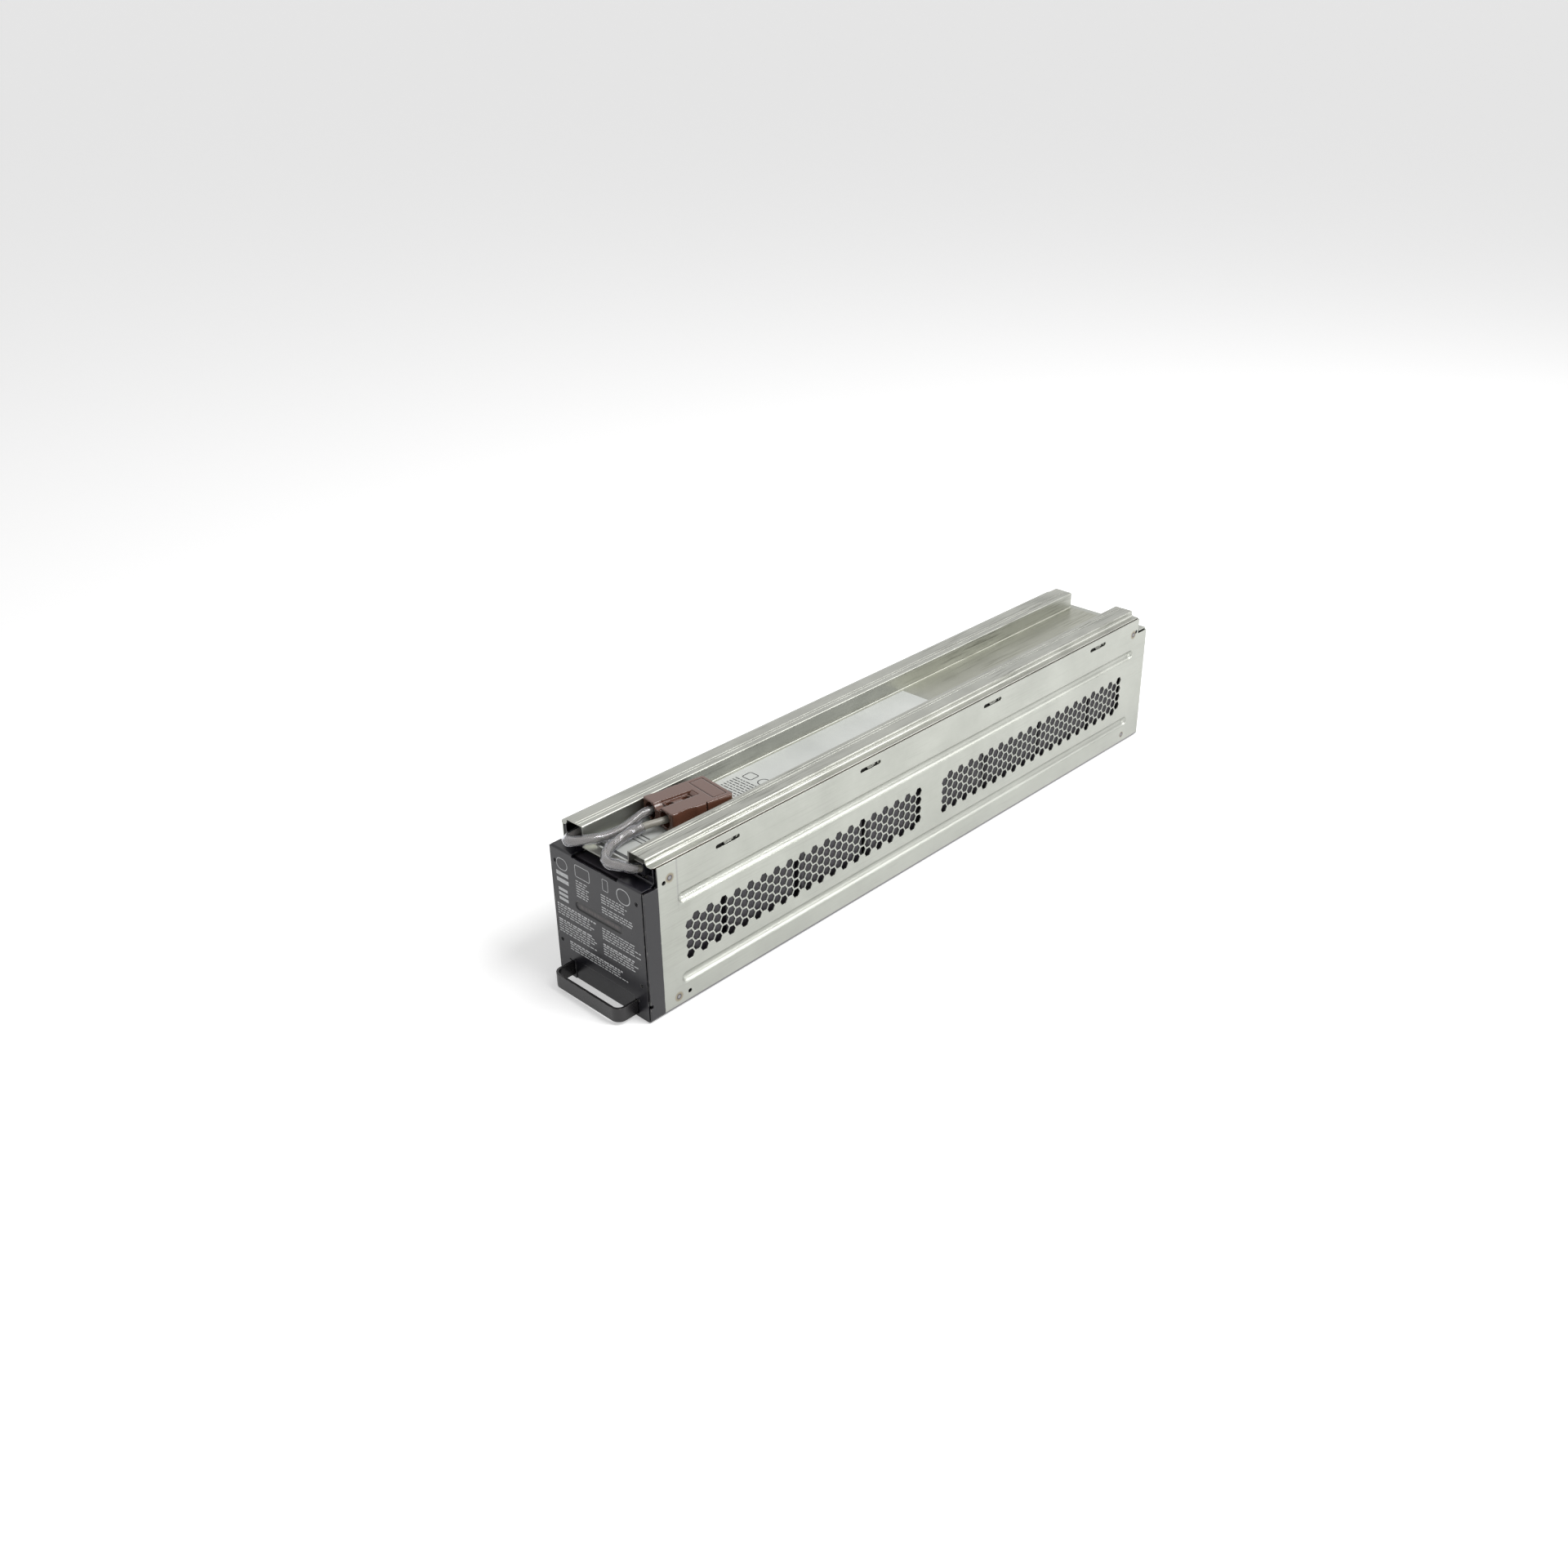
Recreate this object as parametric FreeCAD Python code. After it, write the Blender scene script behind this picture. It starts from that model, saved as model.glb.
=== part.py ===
import FreeCAD, Part
import math
import os
from FreeCAD import Vector

# UPS battery cartridge: a long folded-steel tray that holds a row of eight sealed batteries, closed
# by a silver cover with two hollow rails, a black front panel with a pull handle, and a two-pole
# power connector on two sleeved cables that lies in the valley between the rails.
# Millimetres. +X to the right seen from the handle end, +Y towards the rear, +Z up.
# The origin is the bottom centre of the box of the whole cartridge, handle included.

# ---------------------------------------------------------------- driving dimensions
case_length = 600.0          # face of the front panel to the rear edge of the tray
case_width = 98.5
side_height = 119.5          # top edge of the tray's side walls
case_sheet = 1.0
case_bend = 3.6              # outside radius of the two bottom folds
rear_step_length = 13.4      # the side walls step down this far from the rear edge
rear_step_drop = 14.1        # from the side walls' top edge

frame_depth = 12.9           # black end frame, flush with the tray's outside
frame_sheet = 1.2
frame_tab_length = 16.1      # how far the jogged tabs of the end frame reach into the tray
frame_tab_drop = 4.0         # the jogged tabs end this far below the tray's top edge
frame_drop = 1.1             # the frame's sides end this far below the panel's shelf
joggle_length = 1.2

shelf_drop = 5.1             # the panel's shelf lies this far below the deck
panel_sheet = 1.2
panel_shift = -0.6           # the panel sits a little to the left in its frame
panel_side_gap = 0.65
upstand_gap = 0.4            # between the upstands of both ends and the cover
shelf_depth = 12.5           # top flange of the front panel, up to the upstand
panel_bend = 1.6
notch_left = -25.5
notch_right = 22.5
notch_drop = 2.0
panel_hole = 3.2
panel_hole_left = 3.9        # from the panel's left edge
panel_hole_right = 5.5       # from the panel's right edge
panel_hole_top = 11.5        # below the panel's top
panel_hole_low = 28.4
notch_window = 0.9           # the upstand is open behind the notch up to this far above the shelf
mouth_foot = 1.2             # upstand left standing in the mouths of the rails
bend_foot = 5.6              # upstand left standing under the ledges' inner bends
valley_gap = 0.3             # between an upstand and the valley's walls
deck_gap = 0.4               # between an upstand and the valley's floor
upstand_side_gap = 0.2
lip_height = 16.5            # pressed-back zone between the handle's arms
lip_inset = 0.7
lip_side_gap = 1.0           # between the lip and the handle's slots
dash_length = 2.4            # narrow slit beside the upper end of each handle slot
dash_height = 0.9
dash_lap = 0.1
groove_height = 66.0
groove_length = 50.0
groove_width = 6.6
groove_depth = 0.5

handle_inset = 13.75         # from each side of the case to the outside of each arm
handle_reach = 18.3          # in front of the panel
handle_strap = 2.0
handle_width = 11.0
handle_bottom = 2.9
handle_radius = 7.0
handle_foot = 9.0
handle_slot_gap = 0.5
handle_crease = 0.6          # inside radius where the feet turn outwards behind the panel

cover_sheet = 1.0
cover_front = 10.1
cover_rear_gap = 0.1         # between the cover and the step in the side walls
rail_rise = 4.5              # the rails stand this far above the ledges
deck_drop = 13.8             # the valley floor lies this far below the rails' tops
deck_front = 7.3
rail_inner = 23.4            # half the width of the valley
ledge_width = 6.8            # from the outside of each rail to the outside of the skirt
rail_bend = 1.2
rail_groove_depth = 0.3
rail_groove_width = 0.9
rail_groove_places = (4.6, 7.2)
ledge_lift = 0.8             # the ledges lie this far above the side walls' top edge
ledge_radius = 2.6
ledge_corner = 3.0           # rounded front corners of the ledges
skirt_depth = 18.0
skirt_gap = 0.25
skirt_start = 34.5           # the skirt of the cover begins here; the ledge in front of it is bare

slot_first = 78.0            # slots of the side wall that hold the cover's hooks
slot_last = 76.5             # from the last slot to the tray's rear edge
slot_count = 4
slot_drop = 7.0              # from the side walls' top edge to the middle of the slots
slot_length = 23.0
slot_height = 3.2
hook_length = 7.0

bead_width = 8.6
bead_depth = 2.6
bead_start = 30.0
bead_rear_gap = 20.0         # from the beads' rear ends to the tray's rear edge
bead_room = 1.5              # left round the beads by the rear cap's tabs
bead_low = 22.5
bead_high = 88.0

vent_front = 38.9            # first column of the front field
vent_rear = 38.56            # from the last column to the tray's rear edge
vent_middle = 30.0           # least room between the two fields
vent_rows = 4
vent_pitch = 6.62
vent_row_pitch = 8.05
vent_bottom = 39.4
vent_web = 1.15

rivet_shank = 3.2
rivet_head = 5.4
rivet_head_height = 0.4
rivet_tail = 0.6             # past the inner sheet
rivet_front = (23.6, 26.0)   # upper and lower rivet, behind the panel's face
rivet_rear = (21.0, 26.0)    # the same, ahead of the tray's rear edge
rivet_drop = (11.5, 13.1)    # front and rear upper rivet below the side walls' top edge
rivet_low = 9.8
side_hole = 3.4
side_hole_front = (18.2, 36.4)
side_hole_drop = 13.5
side_hole_low = 9.6

battery_count = 8
battery_side_gap = 3.25      # to the inside of the tray's walls, where the beads reach in
battery_rear_gap = 4.8       # to the rear cap
hold_down = 6.7              # foam between the lids and the cover
battery_gap = 4.2            # air gap between neighbours, filled by two foam strips
battery_lid = 9.0
battery_bevel = 1.6
seam_height = 0.8            # groove under the lid
seam_depth = 0.6
pocket_width = 16.0          # sunk corner round each terminal
pocket_depth = 1.5
pocket_margin = 4.0          # in front of the pocket and at each side of a terminal's foot
lid_groove_reach = 14.0      # from the lid's middle to each of its two grooves
lid_groove_margin = 6.0
strip_middle = 26.0          # foam strips between neighbours, from the middle of the case
strip_width = 12.0
strip_foot = 12.0            # above the pad
strip_drop = 14.0            # below the lids' seam
foam_width = 32.0            # strip over the lids
foam_front = 14.0            # behind the first battery's front
foam_rear = 30.0             # behind the last battery's front
battery_pad = 1.3            # insulating sheet on the tray's floor
pad_margin = 4.0
front_gap = 3.4              # front panel's inner side to the first battery
terminal_shift = 0.1         # blade terminals, inwards from the middle of each rail
terminal_front = 13.0        # behind the battery's front
blade_width = 6.35
blade_sheet = 0.8
blade_height = 6.4
blade_sunk = 0.5             # the blades' feet lie this far below the lids' tops
link_sheet = 0.9
link_height = 6.2            # above the lids
link_lift = 0.4
link_end = 3.6               # beyond the middle of each blade
link_arch = 3.0              # between its ends a link is cut away up to this far above the lids

rear_sheet = 1.2
rear_shelf_drop = 3.2        # below the deck
rear_gap = 0.15              # between the cap and the tray's walls
rear_mouth_foot = 3.4        # the cap's upstand in the mouths of the rails
rear_tab_reach = 34.0
connector_length = 52.0
connector_width = 37.5
connector_thick = 15.0
connector_wall = 2.2
connector_port = 12.2
connector_pole = 9.2         # half the pole spacing
connector_turn = -8.5
connector_pitch = -0.6
connector_roll = -1.5
connector_place = (0.35, 86.9)
connector_lift = 0.1
connector_exit_run = 4.0      # straight run of each cable in front of its port
connector_entry = 7.0         # the contacts' barrels begin this far inside the cable ports
connector_corner = 2.0
connector_edge = 0.8
port_depth = 16.0
mate_width = 11.0             # flat ports at the rear, where the other half plugs in
mate_depth = 15.0
channel = 6.2                 # square channel for each contact
channel_start = 14.0          # behind the housing's front
scallop_radius = 26.0         # finger hollows in the sides
scallop_depth = 1.4
scallop_middle = 13.0
split_depth = 1.2             # upright groove in each side
split_width = 1.0
split_place = 29.0
saddle_radius = 5.2           # rounded hollow in the front edge, between the ports
saddle_lift = 1.4             # its axis above the top
saddle_end = 7.0
trough_width = 9.0
trough_start = 5.5
trough_length = 27.0
trough_depth = 2.0
nut_radius = 3.0
nut_places = (10.5, 24.5)
nut_depth = 5.4
border_side = 3.5             # shallow groove round the plain field at the rear
border_length = 12.0
border_width = 0.7
border_depth = 0.4
barrel_width = 5.9
barrel_end = 25.0             # behind the housing's front
tongue_width = 5.8
tongue_sheet = 1.6
tongue_end = 47.0
tongue_hook = 2.0
spring_width = 4.4
spring_length = 14.0
spring_sheet = 0.7

cable_width = 5.2
cable_sides = 12
sleeve_width = 7.2
sleeve_wall = 0.5
sleeve_sides = 10
sleeve_last_left = 12         # the left sleeve ends in the middle of this run of its cable

lug_sheet = 0.8
lug_share = 0.53              # the lug's arm, at this share of the room between blade and rail
lug_arm_gap = 0.4             # between the arm's end and the rail's inner wall
boot_lift = 4.2               # above the battery's lid
boot_top_gap = 0.3
boot_length = 8.7
boot_front_right = 3.7        # boot ahead of the middle of the first battery's blade
boot_front_left = 5.0         # the same at the last battery, whose cable comes from behind

label_start = 15.0
label_end = 346.0
label_sheet = 0.25
label_margin = 1.6

# ---------------------------------------------------------------- derived values
front = -(case_length - handle_reach) / 2
half = case_width / 2
inner = half - case_sheet
floor_top = case_sheet + battery_pad
battery_front = panel_sheet + front_gap
panel_left = -(half - frame_sheet) + panel_side_gap + panel_shift
panel_right = half - frame_sheet - panel_side_gap + panel_shift
skirt_outer = inner - skirt_gap
rear_step = case_length - rear_step_length
rear_step_height = side_height - rear_step_drop
cover_rear = rear_step - cover_rear_gap
bead_end = case_length - bead_rear_gap
slot_pitch = (case_length - slot_first - slot_last) / (slot_count - 1)
vent_columns = int((case_length - vent_front - vent_rear - vent_middle) / 2 / vent_pitch) + 1
vent_first = (vent_front, case_length - vent_rear - (vent_columns - 1) * vent_pitch)
ledge_height = side_height + ledge_lift
rail_height = ledge_height + rail_rise
deck_height = rail_height - deck_drop
panel_height = deck_height - shelf_drop
rear_shelf = deck_height - rear_shelf_drop
frame_side_height = panel_height - frame_drop
frame_tab_height = side_height - frame_tab_drop
upstand_height = ledge_height - cover_sheet - upstand_gap
slot_middle = side_height - slot_drop
rail_outer = skirt_outer - ledge_width
above = rail_height + 10      # clear of the whole part, for cutting tools
handle_span = 2 * (half - handle_inset)
battery_width = 2 * (inner - battery_side_gap)
battery_rear = case_length - rear_sheet - battery_rear_gap
battery_length = (battery_rear - battery_front - (battery_count - 1) * battery_gap) / battery_count
battery_pitch = battery_length + battery_gap
lid_top = deck_height - cover_sheet - hold_down
blade_top = lid_top - blade_sunk + blade_height
terminal_side = (rail_inner + rail_outer) / 2 - terminal_shift
lug_height = blade_top + lug_share * (rail_height - cover_sheet - blade_top)
boot_low = lid_top + boot_lift
rivet_places = ((rivet_front[0], side_height - rivet_drop[0]), (rivet_front[1], rivet_low),
                (case_length - rivet_rear[1], rivet_low),
                (case_length - rivet_rear[0], side_height - rivet_drop[1]))
side_hole_places = ((side_hole_front[0], side_height - side_hole_drop), (side_hole_front[1], side_hole_low))
rear_tab_front = case_length - rear_tab_reach
lip_half = handle_span / 2 - handle_strap - handle_slot_gap - lip_side_gap
rail_wall = rail_outer + ledge_radius + 0.6   # outside of each rail, its outer bend included
past = 1.0                    # cutting tools reach this far past a face


def v(x, y, z):
    """A point measured from the face of the front panel."""
    return Vector(x, front + y, z)


def box(x0, x1, y0, y1, z0, z1):
    return Part.makeBox(x1 - x0, y1 - y0, z1 - z0, v(x0, y0, z0))


def rounded_path(points, radii):
    """Straight runs through the points, joined by tangent arcs of the given radii."""
    edges = []
    start = points[0]
    for i in range(1, len(points) - 1):
        corner, radius = points[i], radii[i - 1]
        back = (points[i - 1] - corner).normalize()
        ahead = (points[i + 1] - corner).normalize()
        angle = back.getAngle(ahead)
        reach = radius / math.tan(angle / 2)
        middle = (back + ahead).normalize()
        centre = corner + middle * (radius / math.sin(angle / 2))
        first, last = corner + back * reach, corner + ahead * reach
        if (first - start).Length > 1e-4:
            edges.append(Part.LineSegment(start, first).toShape())
        edges.append(Part.Arc(first, centre - middle * radius, last).toShape())
        start = last
    edges.append(Part.LineSegment(start, points[-1]).toShape())
    return Part.Wire(edges)


def folded(points, radii, sheet, direction):
    """A folded sheet: a bent line, thickened and extruded.

    Looking against the direction, the sheet lies to the left of the line, or to its right where
    the sheet is negative.
    """
    seen = Vector(direction).normalize()
    runs = [(b - a).normalize() for a, b in zip(points, points[1:])]
    sides = [seen.cross(run) for run in runs]
    far = [points[0] + sides[0] * sheet]
    far_radii = []
    for i, radius in enumerate(radii):
        a, b = sides[i], sides[i + 1]
        far.append(points[i + 1] + (a + b) * (sheet / (1 + a.dot(b))))
        left_turn = runs[i].cross(runs[i + 1]).dot(seen) > 0
        far_radii.append(radius - sheet if left_turn else radius + sheet)
    far.append(points[-1] + sides[-1] * sheet)
    edges = rounded_path(points, radii).Edges + rounded_path(far, far_radii).Edges
    edges += [Part.LineSegment(points[i], far[i]).toShape() for i in (0, -1)]
    return Part.Face(Part.Wire(Part.sortEdges(edges)[0])).extrude(direction)


def outline(points, direction):
    """A flat outline through the points, extruded."""
    return Part.Face(Part.makePolygon(points + [points[0]])).extrude(direction)


def pill_x(y0, y1, z, height, x0, x1):
    """A slot with round ends that runs along Y and is cut along X."""
    radius = height / 2
    body = box(x0, x1, y0 + radius, y1 - radius, z - radius, z + radius)
    for y in (y0 + radius, y1 - radius):
        body = body.fuse(Part.makeCylinder(radius, x1 - x0, v(x0, y, z), Vector(1, 0, 0)))
    return body.removeSplitter()


def one(shape):
    return shape.removeSplitter()


# ---------------------------------------------------------------- tray
def capsule(side, z, radius, depth):
    """The round-ended rib shape that a bead is pressed with, turned about its own long axis."""
    x = side * (half + radius - depth)
    y0 = bead_start + bead_width / 2
    y1 = bead_end - bead_width / 2
    slant = radius * math.sqrt(0.5)
    profile = [Part.LineSegment(v(x, y1 + radius, z), v(x, y0 - radius, z)),
               Part.Arc(v(x, y0 - radius, z), v(x, y0 - slant, z + slant), v(x, y0, z + radius)),
               Part.LineSegment(v(x, y0, z + radius), v(x, y1, z + radius)),
               Part.Arc(v(x, y1, z + radius), v(x, y1 + slant, z + slant), v(x, y1 + radius, z))]
    face = Part.Face(Part.Wire([part.toShape() for part in profile]))
    return face.revolve(v(x, y0, z), Vector(0, 1, 0), 360)


def vent_hole(side, y, z):
    across = vent_row_pitch - vent_web
    corner = across / math.sqrt(3) * vent_pitch / (vent_row_pitch * math.sqrt(3) / 2)
    x0, x1 = sorted((side * (inner - past), side * (half + past)))
    points = []
    for dy, dz in ((corner, 0), (corner / 2, across / 2), (-corner / 2, across / 2),
                   (-corner, 0), (-corner / 2, -across / 2), (corner / 2, -across / 2)):
        points.append(v(x0, y + dy, z + dz))
    return outline(points, Vector(x1 - x0, 0, 0))


def vent_field(side, first):
    holes = []
    for column in range(vent_columns):
        lift = vent_row_pitch / 2 if column % 2 else 0
        for row in range(vent_rows):
            holes.append(vent_hole(side, first + column * vent_pitch,
                                   vent_bottom + row * vent_row_pitch + lift))
    return holes


def case_tray():
    length = case_length - frame_depth
    points = [v(-half, frame_depth, side_height), v(-half, frame_depth, 0),
              v(half, frame_depth, 0), v(half, frame_depth, side_height)]
    tray = folded(points, [case_bend, case_bend], -case_sheet, Vector(0, length, 0))
    cuts = [box(-half - past, half + past, rear_step, case_length + past,
                rear_step_height, side_height + past)]
    ribs = []
    radius = (bead_width ** 2 / 4 + bead_depth ** 2) / (2 * bead_depth)
    for side in (-1, 1):
        inside = box(*sorted((side * half, 0)), 0, case_length, 0, side_height)
        for z in (bead_low, bead_high):
            ribs.append(capsule(side, z, radius + case_sheet, bead_depth + case_sheet).common(inside))
            cuts.append(capsule(side, z, radius, bead_depth))
        x0, x1 = sorted((side * (inner - past), side * (half + past)))
        for i in range(slot_count):
            y = slot_first + i * slot_pitch
            cuts.append(pill_x(y - slot_length / 2, y + slot_length / 2, slot_middle,
                               slot_height, x0, x1))
        for y, z in side_hole_places:
            cuts.append(Part.makeCylinder(side_hole / 2, x1 - x0, v(x0, y, z), Vector(1, 0, 0)))
        for y, z in rivet_places:
            cuts.append(rivet(side, y, z))
    tray = tray.fuse(ribs).cut(cuts)
    holes = []
    for first in vent_first:
        holes += vent_field(1, first)
    return one(tray.cut(Part.makeCompound(holes)))


def rivet(side, y, z):
    """A flush rivet: a shank with a countersunk flat head on the outside."""
    axis = Vector(-side, 0, 0)
    head = Part.makeCylinder(rivet_head / 2, rivet_head_height, v(side * half, y, z), axis)
    length = case_sheet + frame_sheet + rivet_tail
    shank = Part.makeCylinder(rivet_shank / 2, length, v(side * half, y, z), axis)
    return one(head.fuse(shank))


# ---------------------------------------------------------------- cover
def cover_section(sign):
    """Corner points and bend radii of one half of the cover, from the middle outwards."""
    low, top, ledge = deck_height, rail_height, ledge_height
    edge = skirt_outer
    points = [(0, low), (rail_inner, low), (rail_inner, top), (rail_outer, top),
              (rail_outer, ledge), (edge, ledge), (edge, ledge - skirt_depth)]
    radii = [rail_bend, rail_bend, rail_bend, ledge_radius, rail_bend]
    return [(sign * x, z) for x, z in points], radii


def top_cover():
    right, radii = cover_section(1)
    left, _ = cover_section(-1)
    section = left[:0:-1] + right[1:]
    points = [v(x, cover_front, z) for x, z in section]
    length = cover_rear - cover_front
    bends = radii[::-1] + radii
    sheet = folded(points, bends, cover_sheet, Vector(0, length, 0))
    tongue = box(-rail_inner + rail_bend + 1, rail_inner - rail_bend - 1, deck_front, cover_front,
                 deck_height - cover_sheet, deck_height)
    cuts = []
    for side in (-1, 1):
        x0, x1 = sorted((side * (rail_outer + ledge_radius + 1), side * (half + 1)))
        cuts.append(box(x0, x1, cover_front - 1, skirt_start, 0, ledge_height - cover_sheet))
        for place in rail_groove_places:
            x = side * (rail_inner + place)
            cuts.append(box(x - rail_groove_width / 2, x + rail_groove_width / 2, cover_front - 1,
                            cover_rear + 1, rail_height - rail_groove_depth, rail_height + 1))
    hooks = []
    for side in (-1, 1):
        cuts.append(rivet(side, *rivet_places[3]))
        for i in range(slot_count):
            y = slot_first + i * slot_pitch
            x0, x1 = sorted((side * (skirt_outer - cover_sheet / 2), side * (half - 0.3)))
            z = slot_middle - slot_height / 2 + 0.2
            hooks.append(box(x0, x1, y - hook_length / 2, y + hook_length / 2, z, z + cover_sheet))
    corner = []
    for side in (-1, 1):
        x = side * skirt_outer
        tool = box(*sorted((x - side * ledge_corner, x + side)), cover_front - 1,
                   cover_front + ledge_corner, deck_height, above)
        pin = Part.makeCylinder(ledge_corner, above - deck_height,
                                v(x - side * ledge_corner, cover_front + ledge_corner, deck_height))
        corner.append(tool.cut(pin))
    return one(sheet.fuse(tongue).cut(cuts + corner).fuse(hooks))


# ---------------------------------------------------------------- front end
def collar(outside, sheet, y0, y1, height, bend):
    """A U of sheet round the inside of a line that far from the middle and from the bottom."""
    points = [v(-outside, y0, height), v(-outside, y0, half - outside),
              v(outside, y0, half - outside), v(outside, y0, height)]
    return folded(points, [bend, bend], -sheet, Vector(0, y1 - y0, 0))


def front_frame():
    jog = frame_depth - joggle_length
    step = case_sheet + 0.05
    outer = collar(half, frame_sheet, 0, frame_depth, frame_side_height, case_bend)
    joint = collar(half, frame_sheet + step, jog, frame_depth, frame_side_height, case_bend)
    tabs = collar(half - step, frame_sheet, jog, frame_depth + frame_tab_length,
                  frame_tab_height, case_bend - step)
    frame = outer.fuse([joint, tabs])
    cuts = [box(panel_left - 0.1, panel_right + panel_side_gap, -1, panel_sheet + 0.1,
                -1, side_height),
            box(-lip_half - 0.1, lip_half + 0.1, -1, panel_sheet + lip_inset + 0.1, -1, 5),
            box(half - 2, half + 1, -1, 2.4, 12.6, 15.4)]
    for side in (-1, 1):
        cuts.append(box(*sorted((side * (half - step - 3), side * (half + 1))), jog - 1,
                        frame_depth + 0.3, frame_side_height, side_height))
        for y, z in rivet_places[:2]:
            cuts.append(rivet(side, y, z))
        for y, z in side_hole_places[:1]:
            x0, x1 = sorted((side * 30, side * (half + 1)))
            cuts.append(Part.makeCylinder(side_hole / 2, x1 - x0, v(x0, y, z), Vector(1, 0, 0)))
    cuts.append(box(-half + 6, half - 6, frame_depth + 3, case_length, -1, 10))
    return one(frame.cut(cuts))


def front_plate():
    profile = [(0, 0), (0, panel_height), (shelf_depth, panel_height), (shelf_depth, upstand_height)]
    points = [v(panel_left, y, z) for y, z in profile]
    width = panel_right - panel_left
    plate = folded(points, [panel_bend, panel_bend], -panel_sheet, Vector(width, 0, 0))
    wall = (shelf_depth - 3, shelf_depth + panel_sheet + past)
    valley = rail_inner + cover_sheet + valley_gap
    cuts = [box(notch_left, notch_right, -1, shelf_depth - panel_sheet - 0.01,
                panel_height - notch_drop, above),
            box(notch_left, notch_right, *wall, 0, panel_height + notch_window),
            box(-valley, valley, *wall, deck_height - cover_sheet - deck_gap, above)]
    for side in (-1, 1):
        mouth = sorted((side * (rail_inner + cover_sheet), side * (rail_outer - cover_sheet)))
        cuts.append(box(*mouth, *wall, panel_height + mouth_foot, above))
        bend = sorted((side * rail_inner, side * rail_wall))
        cuts.append(box(*bend, *wall, panel_height + bend_foot, above))
        edge = sorted((side * (half - 2 * frame_sheet - case_sheet - upstand_side_gap), side * half))
        cuts.append(box(*edge, *wall, 0, above))
    for x in (panel_left + panel_hole_left, panel_right - panel_hole_right):
        for z in (panel_hole_low, panel_height - panel_hole_top):
            cuts.append(Part.makeCylinder(panel_hole / 2, 3, v(x, -1, z), Vector(0, 1, 0)))
    cuts.append(pill_y(-groove_length / 2, groove_length / 2, groove_height, groove_width,
                       -1, groove_depth))
    arm = handle_span / 2
    for side in (-1, 1):
        slot = sorted((side * (arm - handle_strap - handle_slot_gap), side * (arm + handle_slot_gap)))
        cuts.append(box(*slot, -1, 3, handle_bottom - handle_slot_gap,
                        handle_bottom + handle_width + handle_slot_gap))
        dash = sorted((side * arm, side * (arm + dash_length)))
        cuts.append(box(*dash, -1, 3, handle_bottom + handle_width - dash_lap,
                        handle_bottom + handle_width + dash_height))
    cuts.append(box(-lip_half, lip_half, -1, lip_inset, -1, lip_height))
    pad = box(-lip_half, lip_half, panel_sheet - 0.01, panel_sheet + lip_inset, 0, lip_height)
    for side in (-1, 1):
        corner = box(*sorted((side * (half - case_bend), side * half)), -1, 3, -1, case_bend)
        pin = Part.makeCylinder(case_bend, 4, v(side * (half - case_bend), -1, case_bend),
                                Vector(0, 1, 0))
        cuts.append(corner.cut(pin))
    return one(plate.fuse(pad).cut(cuts))


def pill_y(x0, x1, z, height, y0, y1):
    """A slot with round ends that runs along X and is cut along Y."""
    radius = height / 2
    body = box(x0 + radius, x1 - radius, y0, y1, z - radius, z + radius)
    for x in (x0 + radius, x1 - radius):
        body = body.fuse(Part.makeCylinder(radius, y1 - y0, v(x, y0, z), Vector(0, 1, 0)))
    return body.removeSplitter()


def pull_handle():
    z = handle_bottom
    arm = handle_span / 2
    back = panel_sheet + 0.1
    points = [v(-arm - handle_foot, back, z), v(-arm, back, z), v(-arm, -handle_reach, z),
              v(arm, -handle_reach, z), v(arm, back, z), v(arm + handle_foot, back, z)]
    radii = [handle_crease, handle_radius, handle_radius, handle_crease]
    return one(folded(points, radii, handle_strap, Vector(0, 0, handle_width)))


def plate_rivets():
    parts = []
    for x in (panel_left + panel_hole_left, panel_right - panel_hole_right):
        for z in (panel_hole_low, panel_height - panel_hole_top):
            body = Part.makeCylinder(panel_hole / 2, panel_sheet + 0.9, v(x, 0.5, z), Vector(0, 1, 0))
            bore = Part.makeCylinder(panel_hole / 4, 1.2, v(x, 0, z), Vector(0, 1, 0))
            parts.append(body.cut(bore))
    return Part.makeCompound(parts)


def side_rivets():
    return Part.makeCompound([rivet(side, y, z) for side in (-1, 1) for y, z in rivet_places])


# ---------------------------------------------------------------- rear end
def rear_cap():
    upstand = rear_step - rear_sheet
    profile = [(case_length, case_sheet + 0.05), (case_length, rear_shelf), (upstand, rear_shelf),
               (upstand, upstand_height)]
    points = [v(-inner + rear_gap, y, z) for y, z in profile]
    width = 2 * (inner - rear_gap)
    plate = folded(points, [panel_bend, panel_bend], rear_sheet, Vector(width, 0, 0))
    wall = (upstand - 3, rear_step + 3)
    valley = rail_inner + cover_sheet + valley_gap
    cuts = [box(-valley, valley, *wall, deck_height - cover_sheet - deck_gap, above)]
    for side in (-1, 1):
        mouth = sorted((side * rail_inner, side * rail_wall))
        cuts.append(box(*mouth, *wall, rear_shelf + rear_mouth_foot, above))
        edge = sorted((side * (skirt_outer - cover_sheet - valley_gap), side * half))
        cuts.append(box(*edge, *wall, ledge_height - skirt_depth - 1, above))
        edge = sorted((side * (inner - 3), side * half))
        cuts.append(box(*edge, 0, case_length + 1, -1, case_bend + 1))
    tabs = []
    for side in (-1, 1):
        x0, x1 = sorted((side * (inner - rear_gap), side * (inner - rear_gap - rear_sheet)))
        tabs.append(box(x0, x1, rear_tab_front, case_length - rear_sheet / 2, case_bend + 1,
                        ledge_height - skirt_depth - 1))
        for z in (bead_low, bead_high):
            cuts.append(box(x0 - 1, x1 + 1, rear_tab_front - 1, bead_end + 2,
                            z - bead_width / 2 - bead_room, z + bead_width / 2 + bead_room))
        cuts.append(rivet(side, *rivet_places[2]))
    return one(plate.fuse(tabs).cut(cuts))


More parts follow.
